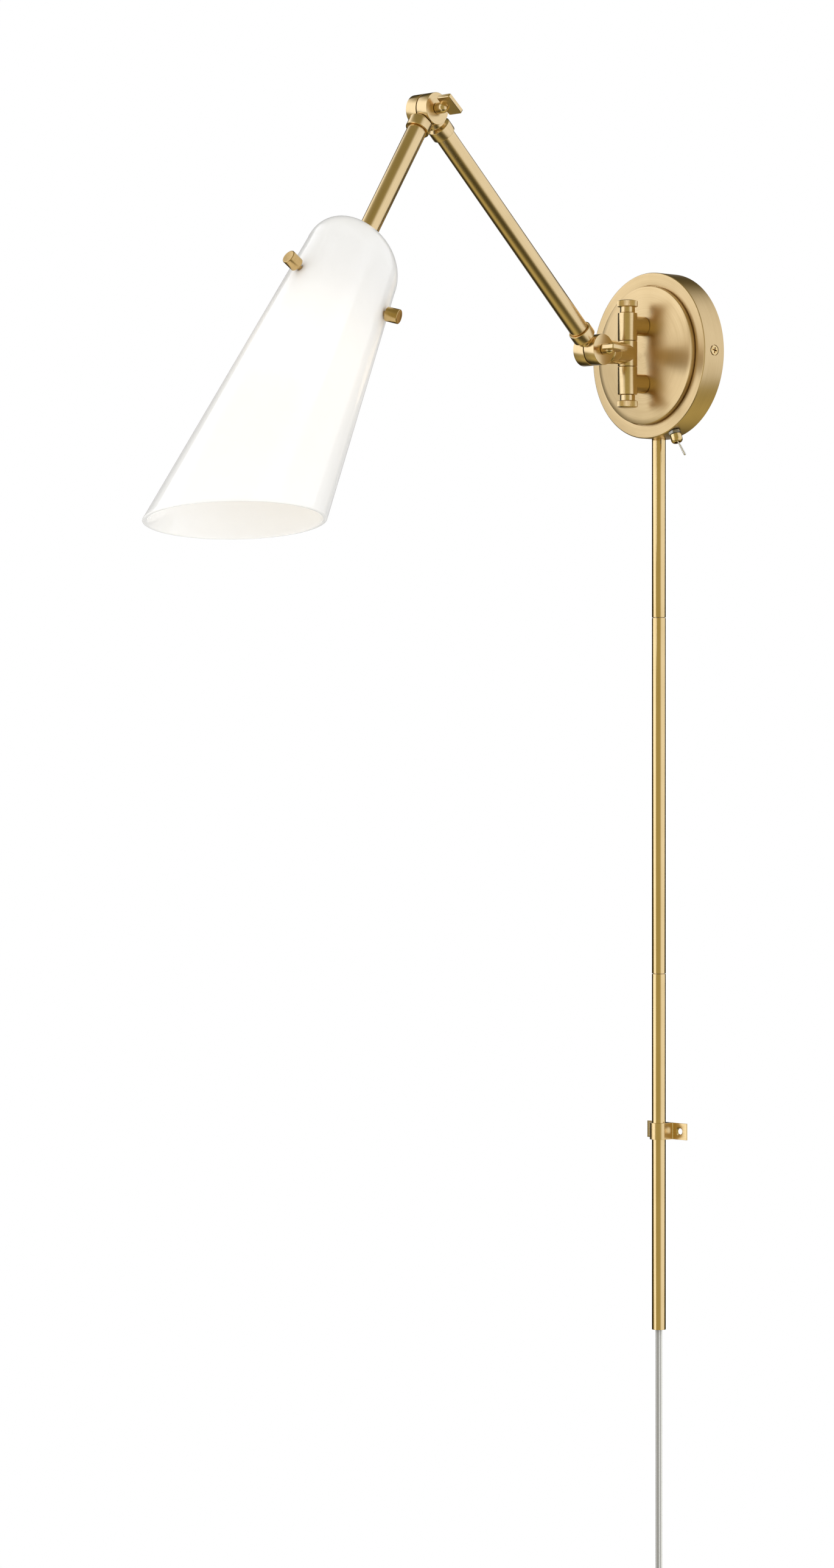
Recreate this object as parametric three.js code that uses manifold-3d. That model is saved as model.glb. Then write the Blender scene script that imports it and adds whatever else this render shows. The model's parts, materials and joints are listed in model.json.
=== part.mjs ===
// Swing arm wall sconce: brass canopy with a vertical hinge, two arms joined by friction
// knuckles, an opal glass shade on a three-screw fitter, and a plug-in cord in a rigid conduit.
//
// Millimetres, +Z up. The wall is the plane Y = 0 and the lamp stands out towards -Y.
// The origin is the centre of the canopy on the wall.

import * as THREE from "three";
import { mergeVertices } from "three/addons/utils/BufferGeometryUtils.js";
import Module from "manifold-3d";

const wasm = await Module();
wasm.setup();

// ---------------------------------------------------------------- driving dimensions

const CLEARANCE = 0.3; // gap between two pieces that touch
const THREAD_GAP = 0.3; // radial gap where a thread would be

// canopy
const CANOPY_RADIUS = 60;
const CANOPY_DEPTH = 19.5; // wall to the front of the rim
const CANOPY_WALL = 1.2;
const CANOPY_LIFT = 0.5; // back edge off the wall
const CANOPY_EDGE_RADIUS = 2.6;
const DISC_RADIUS = 50; // raised centre
const DISC_RISE = 3.4; // rim to the raised edge
const DISC_CROWN = 1.6; // raised edge to the middle
const DISC_EDGE_RADIUS = 0.7;
const GROOVE_WIDTH = 0.9; // groove at the foot of the raised centre
const GROOVE_DEPTH = 0.5;

// wall bracket inside the canopy
const BRACKET_THICKNESS = 1.6;
const BRACKET_WIDTH = 20;
const BRACKET_EAR_GAP = 0.6; // ear to the inside of the canopy
const BRACKET_EAR_HEIGHT = 15;
const BRACKET_CENTRE_BORE = 9;
const BRACKET_SLOT_OFFSET = 33;
const BRACKET_SLOT_LENGTH = 12;
const BRACKET_SLOT_WIDTH = 4.6;

// canopy side screws
const SIDE_SCREW_HEIGHT = 10; // off the wall
const SIDE_SCREW_RADIUS = 1.7;
const SIDE_SCREW_HEAD_RADIUS = 3.3;
const SIDE_SCREW_HEAD_DEPTH = 1.5;
const SIDE_SCREW_HEAD_PROUD = 0.35;
const SIDE_SCREW_LENGTH = 9;

// hinge on two posts
const POST_SPACING = 41.6;
const POST_RADIUS = 7;
const HINGE_OFFSET = 39.5; // wall to the hinge axis
const SLEEVE_RADIUS = 7.05;
const SLEEVE_END = 29.4; // outer end of a sleeve from the middle of the hinge
const TEE_HEIGHT = 18.2;
const HINGE_PIN_RADIUS = 3;
const HINGE_PIN_GRIP = 4.6; // how far the pin reaches into each cap
const CAP_NECK_RADIUS = 5.45;
const CAP_NECK_LENGTH = 4;
const CAP_RADIUS = 7.35;
const CAP_HEIGHT = 4.9;
const KNURL_COUNT = 24;
const KNURL_DEPTH = 0.35;
const CAP_BEVEL = 0.5;
const POST_SCREW_RADIUS = 2;
const POST_SCREW_GRIP = 8.5;
const POST_SCREW_HEAD_RADIUS = 3.8;
const POST_SCREW_HEAD_HEIGHT = 2.4;

// knuckles: two half discs on one pivot, each with a collar for a tube
const KNUCKLE_RADIUS = 11.1;
const KNUCKLE_THICKNESS = 19.4; // both halves together
const KNUCKLE_SEAM = 0.7;
const KNUCKLE_EDGE = 0.45; // bevel on the outer faces
const WASHER_RADIUS = 7.5;
const WASHER_THICKNESS = 1.2;
const WASHER_BORE = 3.4;
const COLLAR_RADIUS = 8.5;
const COLLAR_CHAMFER = 1.8;
const COLLAR_NECK_RADIUS = 6.2;
const SOCKET_DEPTH = 6;
const KNUCKLE_CLEARANCE = 0.5; // collar to the other half disc
const STUB_COLLAR_START = 14.2; // from the pivot
const LOWER_COLLAR = [13.2, 20.4]; // start and end, from the pivot
const ELBOW_COLLAR = [15.2, 22.8];
const UPPER_COLLAR = [10.4, 18];

// thumb keys
const KEY_HUB_RADIUS = 3.9;
const KEY_HUB_LENGTH = 4.8; // cylinder part, before the round end
const KEY_PADDLE_WIDTH = 16.6;
const KEY_PADDLE_LENGTH = 11.4;
const KEY_PADDLE_THICKNESS = 3.2;
const KEY_PADDLE_START = 4.7; // knuckle face to the paddle
const KEY_PADDLE_CORNER = 1.2;
const KEY_SHANK_RADIUS = 2.4;
const KEY_SHANK_SHORT = 2; // shank end to the far face of the knuckle
const LOWER_KEY_TURN = 37.6; // degrees from the arm, paddle about level
const LOWER_KEY_OFFSET = 0.3; // hub to the middle of the paddle
const ELBOW_KEY_TURN = 3; // degrees from the arm
const ELBOW_KEY_OFFSET = 2.4;

// arms
const SWING_ANGLE = 7.5; // degrees from straight out towards +X
const STUB_LENGTH = 37.6; // hinge axis to the lower pivot
const BOSS_RADIUS = 8.1;
const BOSS_LENGTH = 15.8;
const BOSS_SPIGOT_RADIUS = 5.4;
const LOWER_ARM_LENGTH = 231.5; // pivot to pivot
const LOWER_ARM_RISE = 41.1; // degrees above level
const UPPER_ARM_DROP = 56.5; // degrees below level
const TUBE_RADIUS = 6.95;
const TUBE_WALL = 1;

// shade
const SHADE_PIVOT = 150.8; // elbow to where the glass axis meets the arm axis
const SHADE_SAG = 2.8; // degrees between them
const SHADE_TURN = 18.7; // degrees that the cut is turned about the glass axis
const SHADE_RADIUS = 35.7; // outside, at the pivot point
const SHADE_TAPER = 5.9; // half angle, degrees
const SHADE_LENGTH = 191; // pivot point to the middle of the open end
const SHADE_CUT = 26.6; // degrees between the open end and a square cut
const SHADE_WALL = 2.8;
const DOME_HEIGHT = 39.5; // pivot point to the top
const DOME_SHOULDER = 26; // radius of the round shoulder
const DOME_BASE = 13.5; // pivot point to the foot of the shoulder
const DOME_TILT = 11; // degrees that the dome leans the other way
const DOME_HOLE_GAP = 0.7; // glass to the arm tube

// fitter, lampholder and bulb, measured along the upper arm from the elbow
const FITTER_SCREW_STATION = 166.4;
const FITTER_RADIUS = 28;
const FITTER_WALL = 1.5;
const FITTER_TOP = 139;
const FITTER_SKIRT = 33;
const FITTER_EDGE = 5; // radius of the cup's round edge
const FITTER_BOSS_RADIUS = 3.6;
const FITTER_BOSS_INNER = 3.5; // boss past the cup's outside, inwards
const FITTER_BOSS_OUTER = 1.2;
const FITTER_SCREW_TURN = 93; // degrees about the arm, first screw
const THUMB_HEAD_RADIUS = 5;
const THUMB_HEAD_LENGTH = 9.4;
const THUMB_HEAD_CENTRE = 43.9; // from the arm axis
const THUMB_SHANK_RADIUS = 1.7;
const THUMB_EDGE = 0.5;
const THUMB_REACH = 3.2; // shank past the cup's outside, inwards
const THUMB_HOLE_GAP = 0.9; // shank to its hole in the glass
const THREAD_ROD_RADIUS = 4.8;
const THREAD_ROD_BORE = 3;
const THREAD_ROD_START = 128;
const THREAD_ROD_END = 152;
const LOCK_NUT_FLATS = 13;
const LOCK_NUT_HEIGHT = 3.2;
const HOLDER_RADIUS = 19;
const HOLDER_LENGTH = 48;
const HOLDER_WALL = 2;
const HOLDER_SHOULDER = 10;
const HOLDER_NARROWING = 6; // shell to the flat top
const HOLDER_FLOOR = 4; // thickness under the shoulder
const BULB_SCREW_RADIUS = 13;
const BULB_SCREW_LENGTH = 24;
const BULB_SCREW_TURNS = 3;
const BULB_SCREW_DEPTH = 1; // of the rolled thread
const BULB_SCREW_WALL = 1.2;
const BULB_FOOT_RADIUS = 4.5; // contact
const BULB_FOOT_HEIGHT = 5; // contact to the first thread
const BULB_RADIUS = 28;
const BULB_WALL = 1;
const BULB_LENGTH = 72; // neck to the tip

// toggle switch in the canopy's rim
const SWITCH_ANGLE = 22; // degrees from the bottom towards +X
const SWITCH_HEIGHT = 14.3; // off the wall
const SWITCH_BODY = [13, 5.8, 9.5]; // along the rim, off the wall, inwards
const BUSHING_RADIUS = 3;
const BUSHING_BORE = 2.2;
const BUSHING_LENGTH = 8.4; // from the inside of the canopy wall
const SWITCH_NUT_FLATS = 8.4;
const SWITCH_NUT_HEIGHT = 2.4;
const DRESS_NUT_RADIUS = 4.3;
const DRESS_NUT_HEIGHT = 3.6; // straight part
const DRESS_NUT_MOUTH = 2.7;
const LEVER_PIVOT = 5.6; // off the canopy's surface
const LEVER_BALL_RADIUS = 1.5;
const LEVER_RADIUS = 0.62;
const LEVER_TIP_RADIUS = 0.95;
const LEVER_LENGTH = 14;
const LEVER_TILT = 17; // degrees towards the wall

// conduit
const CONDUIT_RADIUS = 5.1;
const CONDUIT_WALL = 0.8;
const CONDUIT_OFFSET = 8.9; // wall to its axis
const CONDUIT_TOP = -51; // inside the canopy
const CONDUIT_UPPER_LENGTH = 138.4;
const CONDUIT_SECTION_LENGTH = 258.3;
const COUPLER_LENGTH = 26;
const COUPLER_WALL = 0.7;
const CONDUIT_NUT_FLATS = 15;
const CONDUIT_NUT_HEIGHT = 2.6;
const BUSH_LENGTH = 12;

// strap clip
const CLIP_Z = -562;
const CLIP_HEIGHT = 12;
const CLIP_THICKNESS = 1.2;
const CLIP_HALF_WIDTH = 21;
const CLIP_HOLE_OFFSET = 13.4;
const CLIP_HOLE_RADIUS = 2.2;
const CLIP_SINK_RADIUS = 3.5;
const CLIP_BEND = 0.8;

// flat twin cord, tied coil and plug
const CORD_WIDTH = 5.6;
const CORD_THICKNESS = 2.8;
const COIL_CENTRE_Z = -939;
const COIL_INNER_RADIUS = 24.8;
const COIL_OUTER_RADIUS = 37.2;
const COIL_BACK = 5.8; // wall to the coil
const COIL_WIDTH = 12.2;
const COIL_CORNER = 2.6;
const TIE_WIDTH = 8;
const TIE_THICKNESS = 1.2;
const TIE_CORNER = 2.4; // inside
const TIE_GAP = 0.5; // to the coil
const TIE_ANGLE = 128; // degrees round the coil from +X
const PLUG_X = -35.5;
const PLUG_OFFSET = 14.9; // wall to the plug's axis
const PLUG_RELIEF_TOP = -959.3;
const PLUG_RELIEF_LENGTH = 20;
const PLUG_BODY_LENGTH = 26;
const PLUG_BODY_WIDTH = 23;
const PLUG_BODY_DEPTH = 15;
const PLUG_CORNER = 5;
const PLUG_RELIEF_RADII = [3.7, 4.4, 5.6]; // at its top, middle and foot
const BLADE_SPACING = 12.7;
const BLADE_LENGTH = 17;
const BLADE_THICKNESS = 1.5;
const BLADE_WIDTH = 6.3;
const BLADE_TIP = 1.4; // bevel at each side of the tip
const BLADE_EYE_RADIUS = 1.6;
const BLADE_EYE_OFFSET = 4; // tip to the eye
const BLADE_SEAT = 6; // length of each blade held in the body

// The cord hangs straight from the conduit and bends into the side of the coil: x and z.
const CORD_ROUTE = [
  [0, -704.4],
  [0, -735],
  [0, -770],
  [0, -805],
  [0, -840],
  [0, -865],
  [0, -884.6],
  [-0.4, -888.8],
  [-1.4, -892.8],
  [-3.2, -896.6],
  [-6.1, -900.6],
];

// facets round a full turn, by size
const FINE = 40;
const MEDIUM = 28;
const COARSE = 20;
const SMALL = 14;
const TINY = 10;

// ---------------------------------------------------------------- helpers

const radians = THREE.MathUtils.degToRad;

/** Points of an arc from angle a to b (degrees) about (x, y). */
function arc(x, y, radius, a, b, steps) {
  const points = [];
  for (let i = 0; i <= steps; i++) {
    const t = radians(a + ((b - a) * i) / steps);
    points.push([x + radius * Math.cos(t), y + radius * Math.sin(t)]);
  }
  return points;
}

/** Turns a closed three.js geometry into a manifold solid with its faces outward. */
function solid(geometry) {
  const bare = geometry.clone();
  bare.deleteAttribute("normal");
  bare.deleteAttribute("uv");
  const merged = mergeVertices(bare, 1e-4);
  const points = merged.attributes.position.array;
  const faces = [];
  const index = merged.index.array;
  for (let i = 0; i < index.length; i += 3) {
    const [a, b, c] = [index[i], index[i + 1], index[i + 2]];
    if (a !== b && b !== c && c !== a) faces.push(a, b, c);
  }
  if (volumeOf(points, faces) < 0) {
    for (let i = 0; i < faces.length; i += 3) {
      [faces[i + 1], faces[i + 2]] = [faces[i + 2], faces[i + 1]];
    }
  }
  const mesh = new wasm.Mesh({
    numProp: 3,
    vertProperties: Float32Array.from(points),
    triVerts: Uint32Array.from(faces),
  });
  return new wasm.Manifold(mesh);
}

/** Six times the signed volume inside a closed mesh. */
function volumeOf(points, faces) {
  const [a, b, c] = [new THREE.Vector3(), new THREE.Vector3(), new THREE.Vector3()];
  let sum = 0;
  for (let i = 0; i < faces.length; i += 3) {
    a.fromArray(points, 3 * faces[i]);
    b.fromArray(points, 3 * faces[i + 1]);
    c.fromArray(points, 3 * faces[i + 2]);
    sum += a.dot(b.cross(c));
  }
  return sum;
}

/** Turns a manifold solid back into a geometry. */
function geometryOf(body) {
  const mesh = body.getMesh();
  const geometry = new THREE.BufferGeometry();
  geometry.setAttribute("position", new THREE.Float32BufferAttribute(mesh.vertProperties, 3));
  geometry.setIndex([...mesh.triVerts]);
  geometry.computeVertexNormals();
  return geometry;
}

/** Joins the first solid with the others. */
function join(first, ...others) {
  return others.reduce((all, one) => all.add(one), first);
}

/** Cuts the others out of the first solid. */
function cut(first, ...others) {
  return others.reduce((left, one) => left.subtract(one), first);
}

/** Revolves a closed [radius, z] profile about Z. */
function revolve(profile, segments = COARSE) {
  const points = profile.map(([r, z]) => new THREE.Vector2(r, z));
  const onAxis = profile[0][0] === 0 && profile[profile.length - 1][0] === 0;
  if (!onAxis) points.push(points[0].clone());
  return new THREE.LatheGeometry(points, segments).rotateX(Math.PI / 2);
}

/** A rod along Z from one height to another. */
function rod(radius, from, to, segments = COARSE) {
  const geometry = new THREE.CylinderGeometry(radius, radius, to - from, segments);
  return geometry.rotateX(Math.PI / 2).translate(0, 0, (from + to) / 2);
}

/** A box from its two corners. */
function block([x0, y0, z0], [x1, y1, z1]) {
  const geometry = new THREE.BoxGeometry(x1 - x0, y1 - y0, z1 - z0);
  return geometry.translate((x0 + x1) / 2, (y0 + y1) / 2, (z0 + z1) / 2);
}

/** Extrudes an outline of [x, y] points along Z from one height to another. */
function prism(outline, from, to, holes = []) {
  const shape = new THREE.Shape(outline.map(([x, y]) => new THREE.Vector2(x, y)));
  for (const hole of holes) {
    shape.holes.push(new THREE.Path(hole.map(([x, y]) => new THREE.Vector2(x, y))));
  }
  const geometry = new THREE.ExtrudeGeometry(shape, { depth: to - from, bevelEnabled: false });
  return geometry.translate(0, 0, from);
}

/** Outline of a rectangle with round corners, centred at 0. */
function roundedRectangle(width, height, corner, steps = 4) {
  const [x, y] = [width / 2 - corner, height / 2 - corner];
  return [
    ...arc(x, y, corner, 0, 90, steps),
    ...arc(-x, y, corner, 90, 180, steps),
    ...arc(-x, -y, corner, 180, 270, steps),
    ...arc(x, -y, corner, 270, 360, steps),
  ];
}

/** Outline of a hexagon with this distance across its flats. */
function hexagon(flats) {
  return arc(0, 0, flats / Math.sqrt(3), 0, 300, 5);
}

/** Points of a circle, without the last one that closes it. */
function circle(radius, steps, x = 0, y = 0) {
  return arc(x, y, radius, 0, 360 - 360 / steps, steps - 1);
}

const finishes = {
  brass: { color: 0xc2a76b, roughness: 0.38, metalness: 1 },
  brassTube: { color: 0xb89c5e, roughness: 0.32, metalness: 1 },
  polishedBrass: { color: 0xd9bf82, roughness: 0.2, metalness: 1 },
  steel: { color: 0x9a9a98, roughness: 0.45, metalness: 1 },
  chrome: { color: 0xe4e4e6, roughness: 0.12, metalness: 1 },
  opalGlass: { color: 0xf6f4ee, roughness: 0.25, metalness: 0 },
  bulbGlass: { color: 0xfff1d6, roughness: 0.3, metalness: 0 },
  porcelain: { color: 0xe9e6dd, roughness: 0.4, metalness: 0 },
  fibre: { color: 0x3a3128, roughness: 0.8, metalness: 0 },
  blackPlastic: { color: 0x202020, roughness: 0.5, metalness: 0 },
  clearPlastic: { color: 0xd9d9d4, roughness: 0.3, metalness: 0 },
};

/** A named mesh in a finish. */
function piece(name, geometry, finish) {
  const material = new THREE.MeshStandardMaterial(finishes[finish]);
  const mesh = new THREE.Mesh(geometry, material);
  mesh.name = name;
  return mesh;
}

// ---------------------------------------------------------------- derived places

const innerRadius = CANOPY_RADIUS - CANOPY_WALL;
const discEdgeHeight = CANOPY_DEPTH + DISC_RISE;
const discTop = discEdgeHeight + DISC_CROWN;
const crownRadius = (DISC_RADIUS ** 2 + DISC_CROWN ** 2) / (2 * DISC_CROWN);
const postZ = POST_SPACING / 2;

/** Height of the canopy's crowned centre at a distance from its middle. */
function crownHeight(r) {
  return discTop - crownRadius + Math.sqrt(crownRadius ** 2 - r ** 2);
}

const postFoot = crownHeight(postZ - POST_RADIUS) + CLEARANCE;
const teeHalf = TEE_HEIGHT / 2;
const sleeveStart = teeHalf + CLEARANCE;
const capStart = SLEEVE_END + CLEARANCE;
const capShoulder = capStart + CAP_NECK_LENGTH;
const capEnd = capShoulder + CAP_HEIGHT;
const pinBore = HINGE_PIN_RADIUS + CLEARANCE;
const socketRadius = TUBE_RADIUS + CLEARANCE;
const pivotBore = KEY_SHANK_RADIUS + THREAD_GAP;
const washerRecess = WASHER_THICKNESS / 2 + CLEARANCE - KNUCKLE_SEAM / 2;

// ---------------------------------------------------------------- canopy and bracket
// These are built with their own z pointing away from the wall and y up.

/** Outer or inner outline of the canopy, from the back edge to the middle. */
function canopyOutline(inset) {
  const edge = CANOPY_EDGE_RADIUS - inset;
  const rim = CANOPY_DEPTH - inset;
  const crown = DISC_RADIUS - DISC_EDGE_RADIUS;
  const points = [[CANOPY_RADIUS - inset, CANOPY_LIFT]];
  const centre = CANOPY_RADIUS - CANOPY_EDGE_RADIUS;
  points.push(...arc(centre, CANOPY_DEPTH - CANOPY_EDGE_RADIUS, edge, 0, 90, inset === 0 ? 4 : 2));
  if (inset === 0) {
    points.push([DISC_RADIUS + GROOVE_WIDTH, rim]);
    points.push([DISC_RADIUS + GROOVE_WIDTH, rim - GROOVE_DEPTH]);
    points.push([DISC_RADIUS, rim - GROOVE_DEPTH]);
    points.push(...arc(crown, discEdgeHeight - DISC_EDGE_RADIUS, DISC_EDGE_RADIUS, 0, 90, 2));
  } else {
    points.push([DISC_RADIUS - inset, rim - GROOVE_DEPTH]);
    points.push([DISC_RADIUS - inset, discEdgeHeight - inset]);
  }
  for (const share of [0.7, 0.35]) {
    points.push([crown * share, crownHeight(crown * share) - inset]);
  }
  points.push([0, discTop - inset]);
  return points;
}

function canopyCover() {
  const shell = solid(revolve([...canopyOutline(0).reverse(), ...canopyOutline(CANOPY_WALL)], FINE));
  const tools = [];
  for (const side of [-1, 1]) {
    const hole = rod(POST_SCREW_RADIUS + CLEARANCE, 0, 2 * CANOPY_DEPTH, TINY);
    tools.push(solid(hole.translate(0, side * postZ, 0)));
    const sink = revolve(sideScrewProfile(CLEARANCE), TINY).rotateY((side * Math.PI) / 2);
    tools.push(solid(sink.translate(0, 0, SIDE_SCREW_HEIGHT)));
  }
  const conduitHole = rod(CONDUIT_RADIUS + CLEARANCE, innerRadius - 4, CANOPY_RADIUS + 4, COARSE);
  tools.push(solid(conduitHole.rotateX(Math.PI / 2).translate(0, 0, CONDUIT_OFFSET)));
  const switchHole = rod(BUSHING_RADIUS + CLEARANCE, innerRadius - 4, CANOPY_RADIUS + 4, SMALL);
  tools.push(solid(switchHole.applyMatrix4(switchPlace())));
  return geometryOf(cut(shell, ...tools));
}

/** Profile of a countersunk side screw along its axis, grown by a gap for its hole. */
function sideScrewProfile(gap) {
  const surface = CANOPY_RADIUS;
  const shank = SIDE_SCREW_RADIUS + gap;
  const head = SIDE_SCREW_HEAD_RADIUS + gap;
  const top = surface + (gap > 0 ? 2 : SIDE_SCREW_HEAD_PROUD);
  const end = surface - SIDE_SCREW_LENGTH - (gap > 0 ? 2 : 0);
  return [
    [0, end],
    [shank, end],
    [shank, surface - SIDE_SCREW_HEAD_DEPTH],
    [head, surface],
    [head, top - (gap > 0 ? 0 : SIDE_SCREW_HEAD_PROUD / 2)],
    [0, top],
  ];
}

function sideScrew(side) {
  const geometry = revolve(sideScrewProfile(0), TINY).rotateY((side * Math.PI) / 2);
  return geometry.translate(0, 0, SIDE_SCREW_HEIGHT);
}

function wallBracket() {
  const half = BRACKET_WIDTH / 2;
  const outer = Math.sqrt((innerRadius - BRACKET_EAR_GAP) ** 2 - half ** 2);
  const t = BRACKET_THICKNESS;
  const strap = [
    [-outer, 0],
    [outer, 0],
    [outer, BRACKET_EAR_HEIGHT],
    [outer - t, BRACKET_EAR_HEIGHT],
    [outer - t, t],
    [-outer + t, t],
    [-outer + t, BRACKET_EAR_HEIGHT],
    [-outer, BRACKET_EAR_HEIGHT],
  ];
  // The strap is drawn in x and height, then stood up so that its width runs along y.
  const body = solid(prism(strap, -half, half).rotateX(Math.PI / 2));
  const tools = [solid(rod(BRACKET_CENTRE_BORE / 2, -1, t + 1, SMALL))];
  for (const side of [-1, 1]) {
    const slot = roundedRectangle(BRACKET_SLOT_LENGTH, BRACKET_SLOT_WIDTH, BRACKET_SLOT_WIDTH / 2 - 0.01);
    tools.push(solid(prism(slot, -1, t + 1).translate(side * BRACKET_SLOT_OFFSET, 0, 0)));
    const bore = rod(SIDE_SCREW_RADIUS + THREAD_GAP, innerRadius - 6, innerRadius + 1, TINY);
    tools.push(solid(bore.rotateY((side * Math.PI) / 2).translate(0, 0, SIDE_SCREW_HEIGHT)));
  }
  return geometryOf(cut(body, ...tools));
}

// ---------------------------------------------------------------- hinge

/** Post and sleeve in one piece; side is 1 above and -1 below. */
function hingeBracket(side) {
  const post = rod(POST_RADIUS, postFoot, HINGE_OFFSET).translate(0, side * postZ, 0);
  const sleeve = rod(SLEEVE_RADIUS, sleeveStart, SLEEVE_END, MEDIUM).rotateX((-side * Math.PI) / 2);
  const bore = rod(pinBore, sleeveStart - 1, SLEEVE_END + 1, SMALL).rotateX((-side * Math.PI) / 2);
  const thread = rod(
    POST_SCREW_RADIUS + THREAD_GAP,
    postFoot - 1,
    postFoot + POST_SCREW_GRIP + 1,
    TINY
  );
  const body = join(solid(post), solid(sleeve.translate(0, 0, HINGE_OFFSET)));
  return geometryOf(
    cut(
      body,
      solid(bore.translate(0, 0, HINGE_OFFSET)),
      solid(thread.translate(0, side * postZ, 0))
    )
  );
}

function postScrew(side) {
  const seat = crownHeight(postZ + POST_SCREW_HEAD_RADIUS) - CANOPY_WALL - CLEARANCE;
  const profile = [
    [0, seat - POST_SCREW_HEAD_HEIGHT],
    [POST_SCREW_HEAD_RADIUS * 0.7, seat - POST_SCREW_HEAD_HEIGHT],
    [POST_SCREW_HEAD_RADIUS, seat - POST_SCREW_HEAD_HEIGHT * 0.5],
    [POST_SCREW_HEAD_RADIUS, seat],
    [POST_SCREW_RADIUS, seat],
    [POST_SCREW_RADIUS, postFoot + POST_SCREW_GRIP],
    [0, postFoot + POST_SCREW_GRIP],
  ];
  return revolve(profile, TINY).translate(0, side * postZ, 0);
}

/** Knurled cap with its neck, along +z from the sleeve; turned over for the lower one. */
function knurledCap() {
  const bevel = CAP_BEVEL;
  const outline = [];
  const step = 360 / KNURL_COUNT;
  for (let i = 0; i < KNURL_COUNT; i++) {
    outline.push(...arc(0, 0, CAP_RADIUS, i * step, (i + 0.4) * step, 1));
    outline.push(...arc(0, 0, CAP_RADIUS - KNURL_DEPTH, (i + 0.55) * step, (i + 0.85) * step, 1));
  }
  const rim = solid(prism(outline, capShoulder + bevel, capEnd - bevel));
  const root = CAP_RADIUS - KNURL_DEPTH;
  const core = [
    [0, capStart],
    [CAP_NECK_RADIUS, capStart],
    [CAP_NECK_RADIUS, capShoulder],
    [root - bevel, capShoulder],
    [root, capShoulder + bevel],
    [root, capEnd - bevel],
    [root - bevel, capEnd],
    [0, capEnd],
  ];
  const bore = rod(pinBore, capStart - 1, capStart + HINGE_PIN_GRIP + CLEARANCE, SMALL);
  return geometryOf(cut(join(solid(revolve(core)), rim), solid(bore)));
}

function hingePin() {
  const end = capStart + HINGE_PIN_GRIP;
  return rod(HINGE_PIN_RADIUS, -end, end, SMALL);
}

/** The tee that swings on the pin; its boss points along -y. */
function swingTee() {
  const barrel = rod(SLEEVE_RADIUS, -teeHalf, teeHalf, MEDIUM);
  const boss = rod(BOSS_RADIUS, 0, BOSS_LENGTH).rotateX(Math.PI / 2);
  const spigot = rod(BOSS_SPIGOT_RADIUS, 0, BOSS_LENGTH + SOCKET_DEPTH - CLEARANCE, SMALL);
  const body = join(solid(barrel), solid(boss), solid(spigot.rotateX(Math.PI / 2)));
  return geometryOf(cut(body, solid(rod(pinBore, -teeHalf - 1, teeHalf + 1, SMALL))));
}

// ---------------------------------------------------------------- knuckles
// A half is built with the pivot along x and its collar along +z.

/**
 * One half of a knuckle. side: 1 on the +x side of the seam, -1 on the other.
 * start, end: the collar's two ends from the pivot. bore: radius of its socket.
 */
function knuckleHalf(side, start, end, bore) {
  const seam = KNUCKLE_SEAM / 2;
  const face = KNUCKLE_THICKNESS / 2;
  const disc = revolve(
    [
      [0, seam],
      [KNUCKLE_RADIUS, seam],
      [KNUCKLE_RADIUS, face - KNUCKLE_EDGE],
      [KNUCKLE_RADIUS - KNUCKLE_EDGE, face],
      [0, face],
    ],
    MEDIUM
  ).rotateY((side * Math.PI) / 2);
  const foot = Math.max(start - COLLAR_CHAMFER, 0);
  const collar = revolve(
    [
      [0, 0],
      [COLLAR_NECK_RADIUS, 0],
      [COLLAR_NECK_RADIUS, foot],
      [COLLAR_RADIUS, start],
      [COLLAR_RADIUS, end - KNUCKLE_EDGE],
      [COLLAR_RADIUS - KNUCKLE_EDGE, end],
      [0, end],
    ],
    COARSE
  );
  // The other half disc turns in this space.
  const room = rod(KNUCKLE_RADIUS + KNUCKLE_CLEARANCE, -seam, KNUCKLE_THICKNESS, MEDIUM);
  room.rotateY((-side * Math.PI) / 2);
  const socket = rod(bore, end - SOCKET_DEPTH, end + 1);
  const recess = rod(WASHER_RADIUS + CLEARANCE, 0, seam + washerRecess, SMALL);
  const pivot = rod(pivotBore, -1, KNUCKLE_THICKNESS, TINY);
  const turn = (side * Math.PI) / 2;
  return geometryOf(
    cut(
      join(solid(disc), cut(solid(collar), solid(room))),
      solid(socket),
      solid(recess.rotateY(turn)),
      solid(pivot.rotateY(turn))
    )
  );
}

function frictionWasher() {
  const half = WASHER_THICKNESS / 2;
  const ring = [
    [WASHER_BORE, -half],
    [WASHER_RADIUS, -half],
    [WASHER_RADIUS, half],
    [WASHER_BORE, half],
  ];
  return revolve(ring, SMALL).rotateY(Math.PI / 2);
}

/** Thumb key along +x from the knuckle's face, its paddle in the x-z plane at an offset. */
function thumbKey(offset) {
  const face = KNUCKLE_THICKNESS / 2;
  const foot = face + CLEARANCE;
  const tip = -face + KEY_SHANK_SHORT;
  const body = revolve(
    [
      [0, tip],
      [KEY_SHANK_RADIUS, tip],
      [KEY_SHANK_RADIUS, foot],
      [KEY_HUB_RADIUS, foot],
      ...arc(0, foot + KEY_HUB_LENGTH, KEY_HUB_RADIUS, 0, 70, 3),
      [0, foot + KEY_HUB_LENGTH + KEY_HUB_RADIUS],
    ],
    SMALL
  ).rotateY(Math.PI / 2);
  const half = KEY_PADDLE_THICKNESS / 2;
  const plate = prism(
    roundedRectangle(KEY_PADDLE_LENGTH, KEY_PADDLE_WIDTH, KEY_PADDLE_CORNER, 2),
    -half,
    half
  );
  const middle = face + KEY_PADDLE_START + KEY_PADDLE_LENGTH / 2;
  plate.rotateX(Math.PI / 2).translate(middle, offset, 0);
  return geometryOf(join(solid(body), solid(plate)));
}

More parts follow.
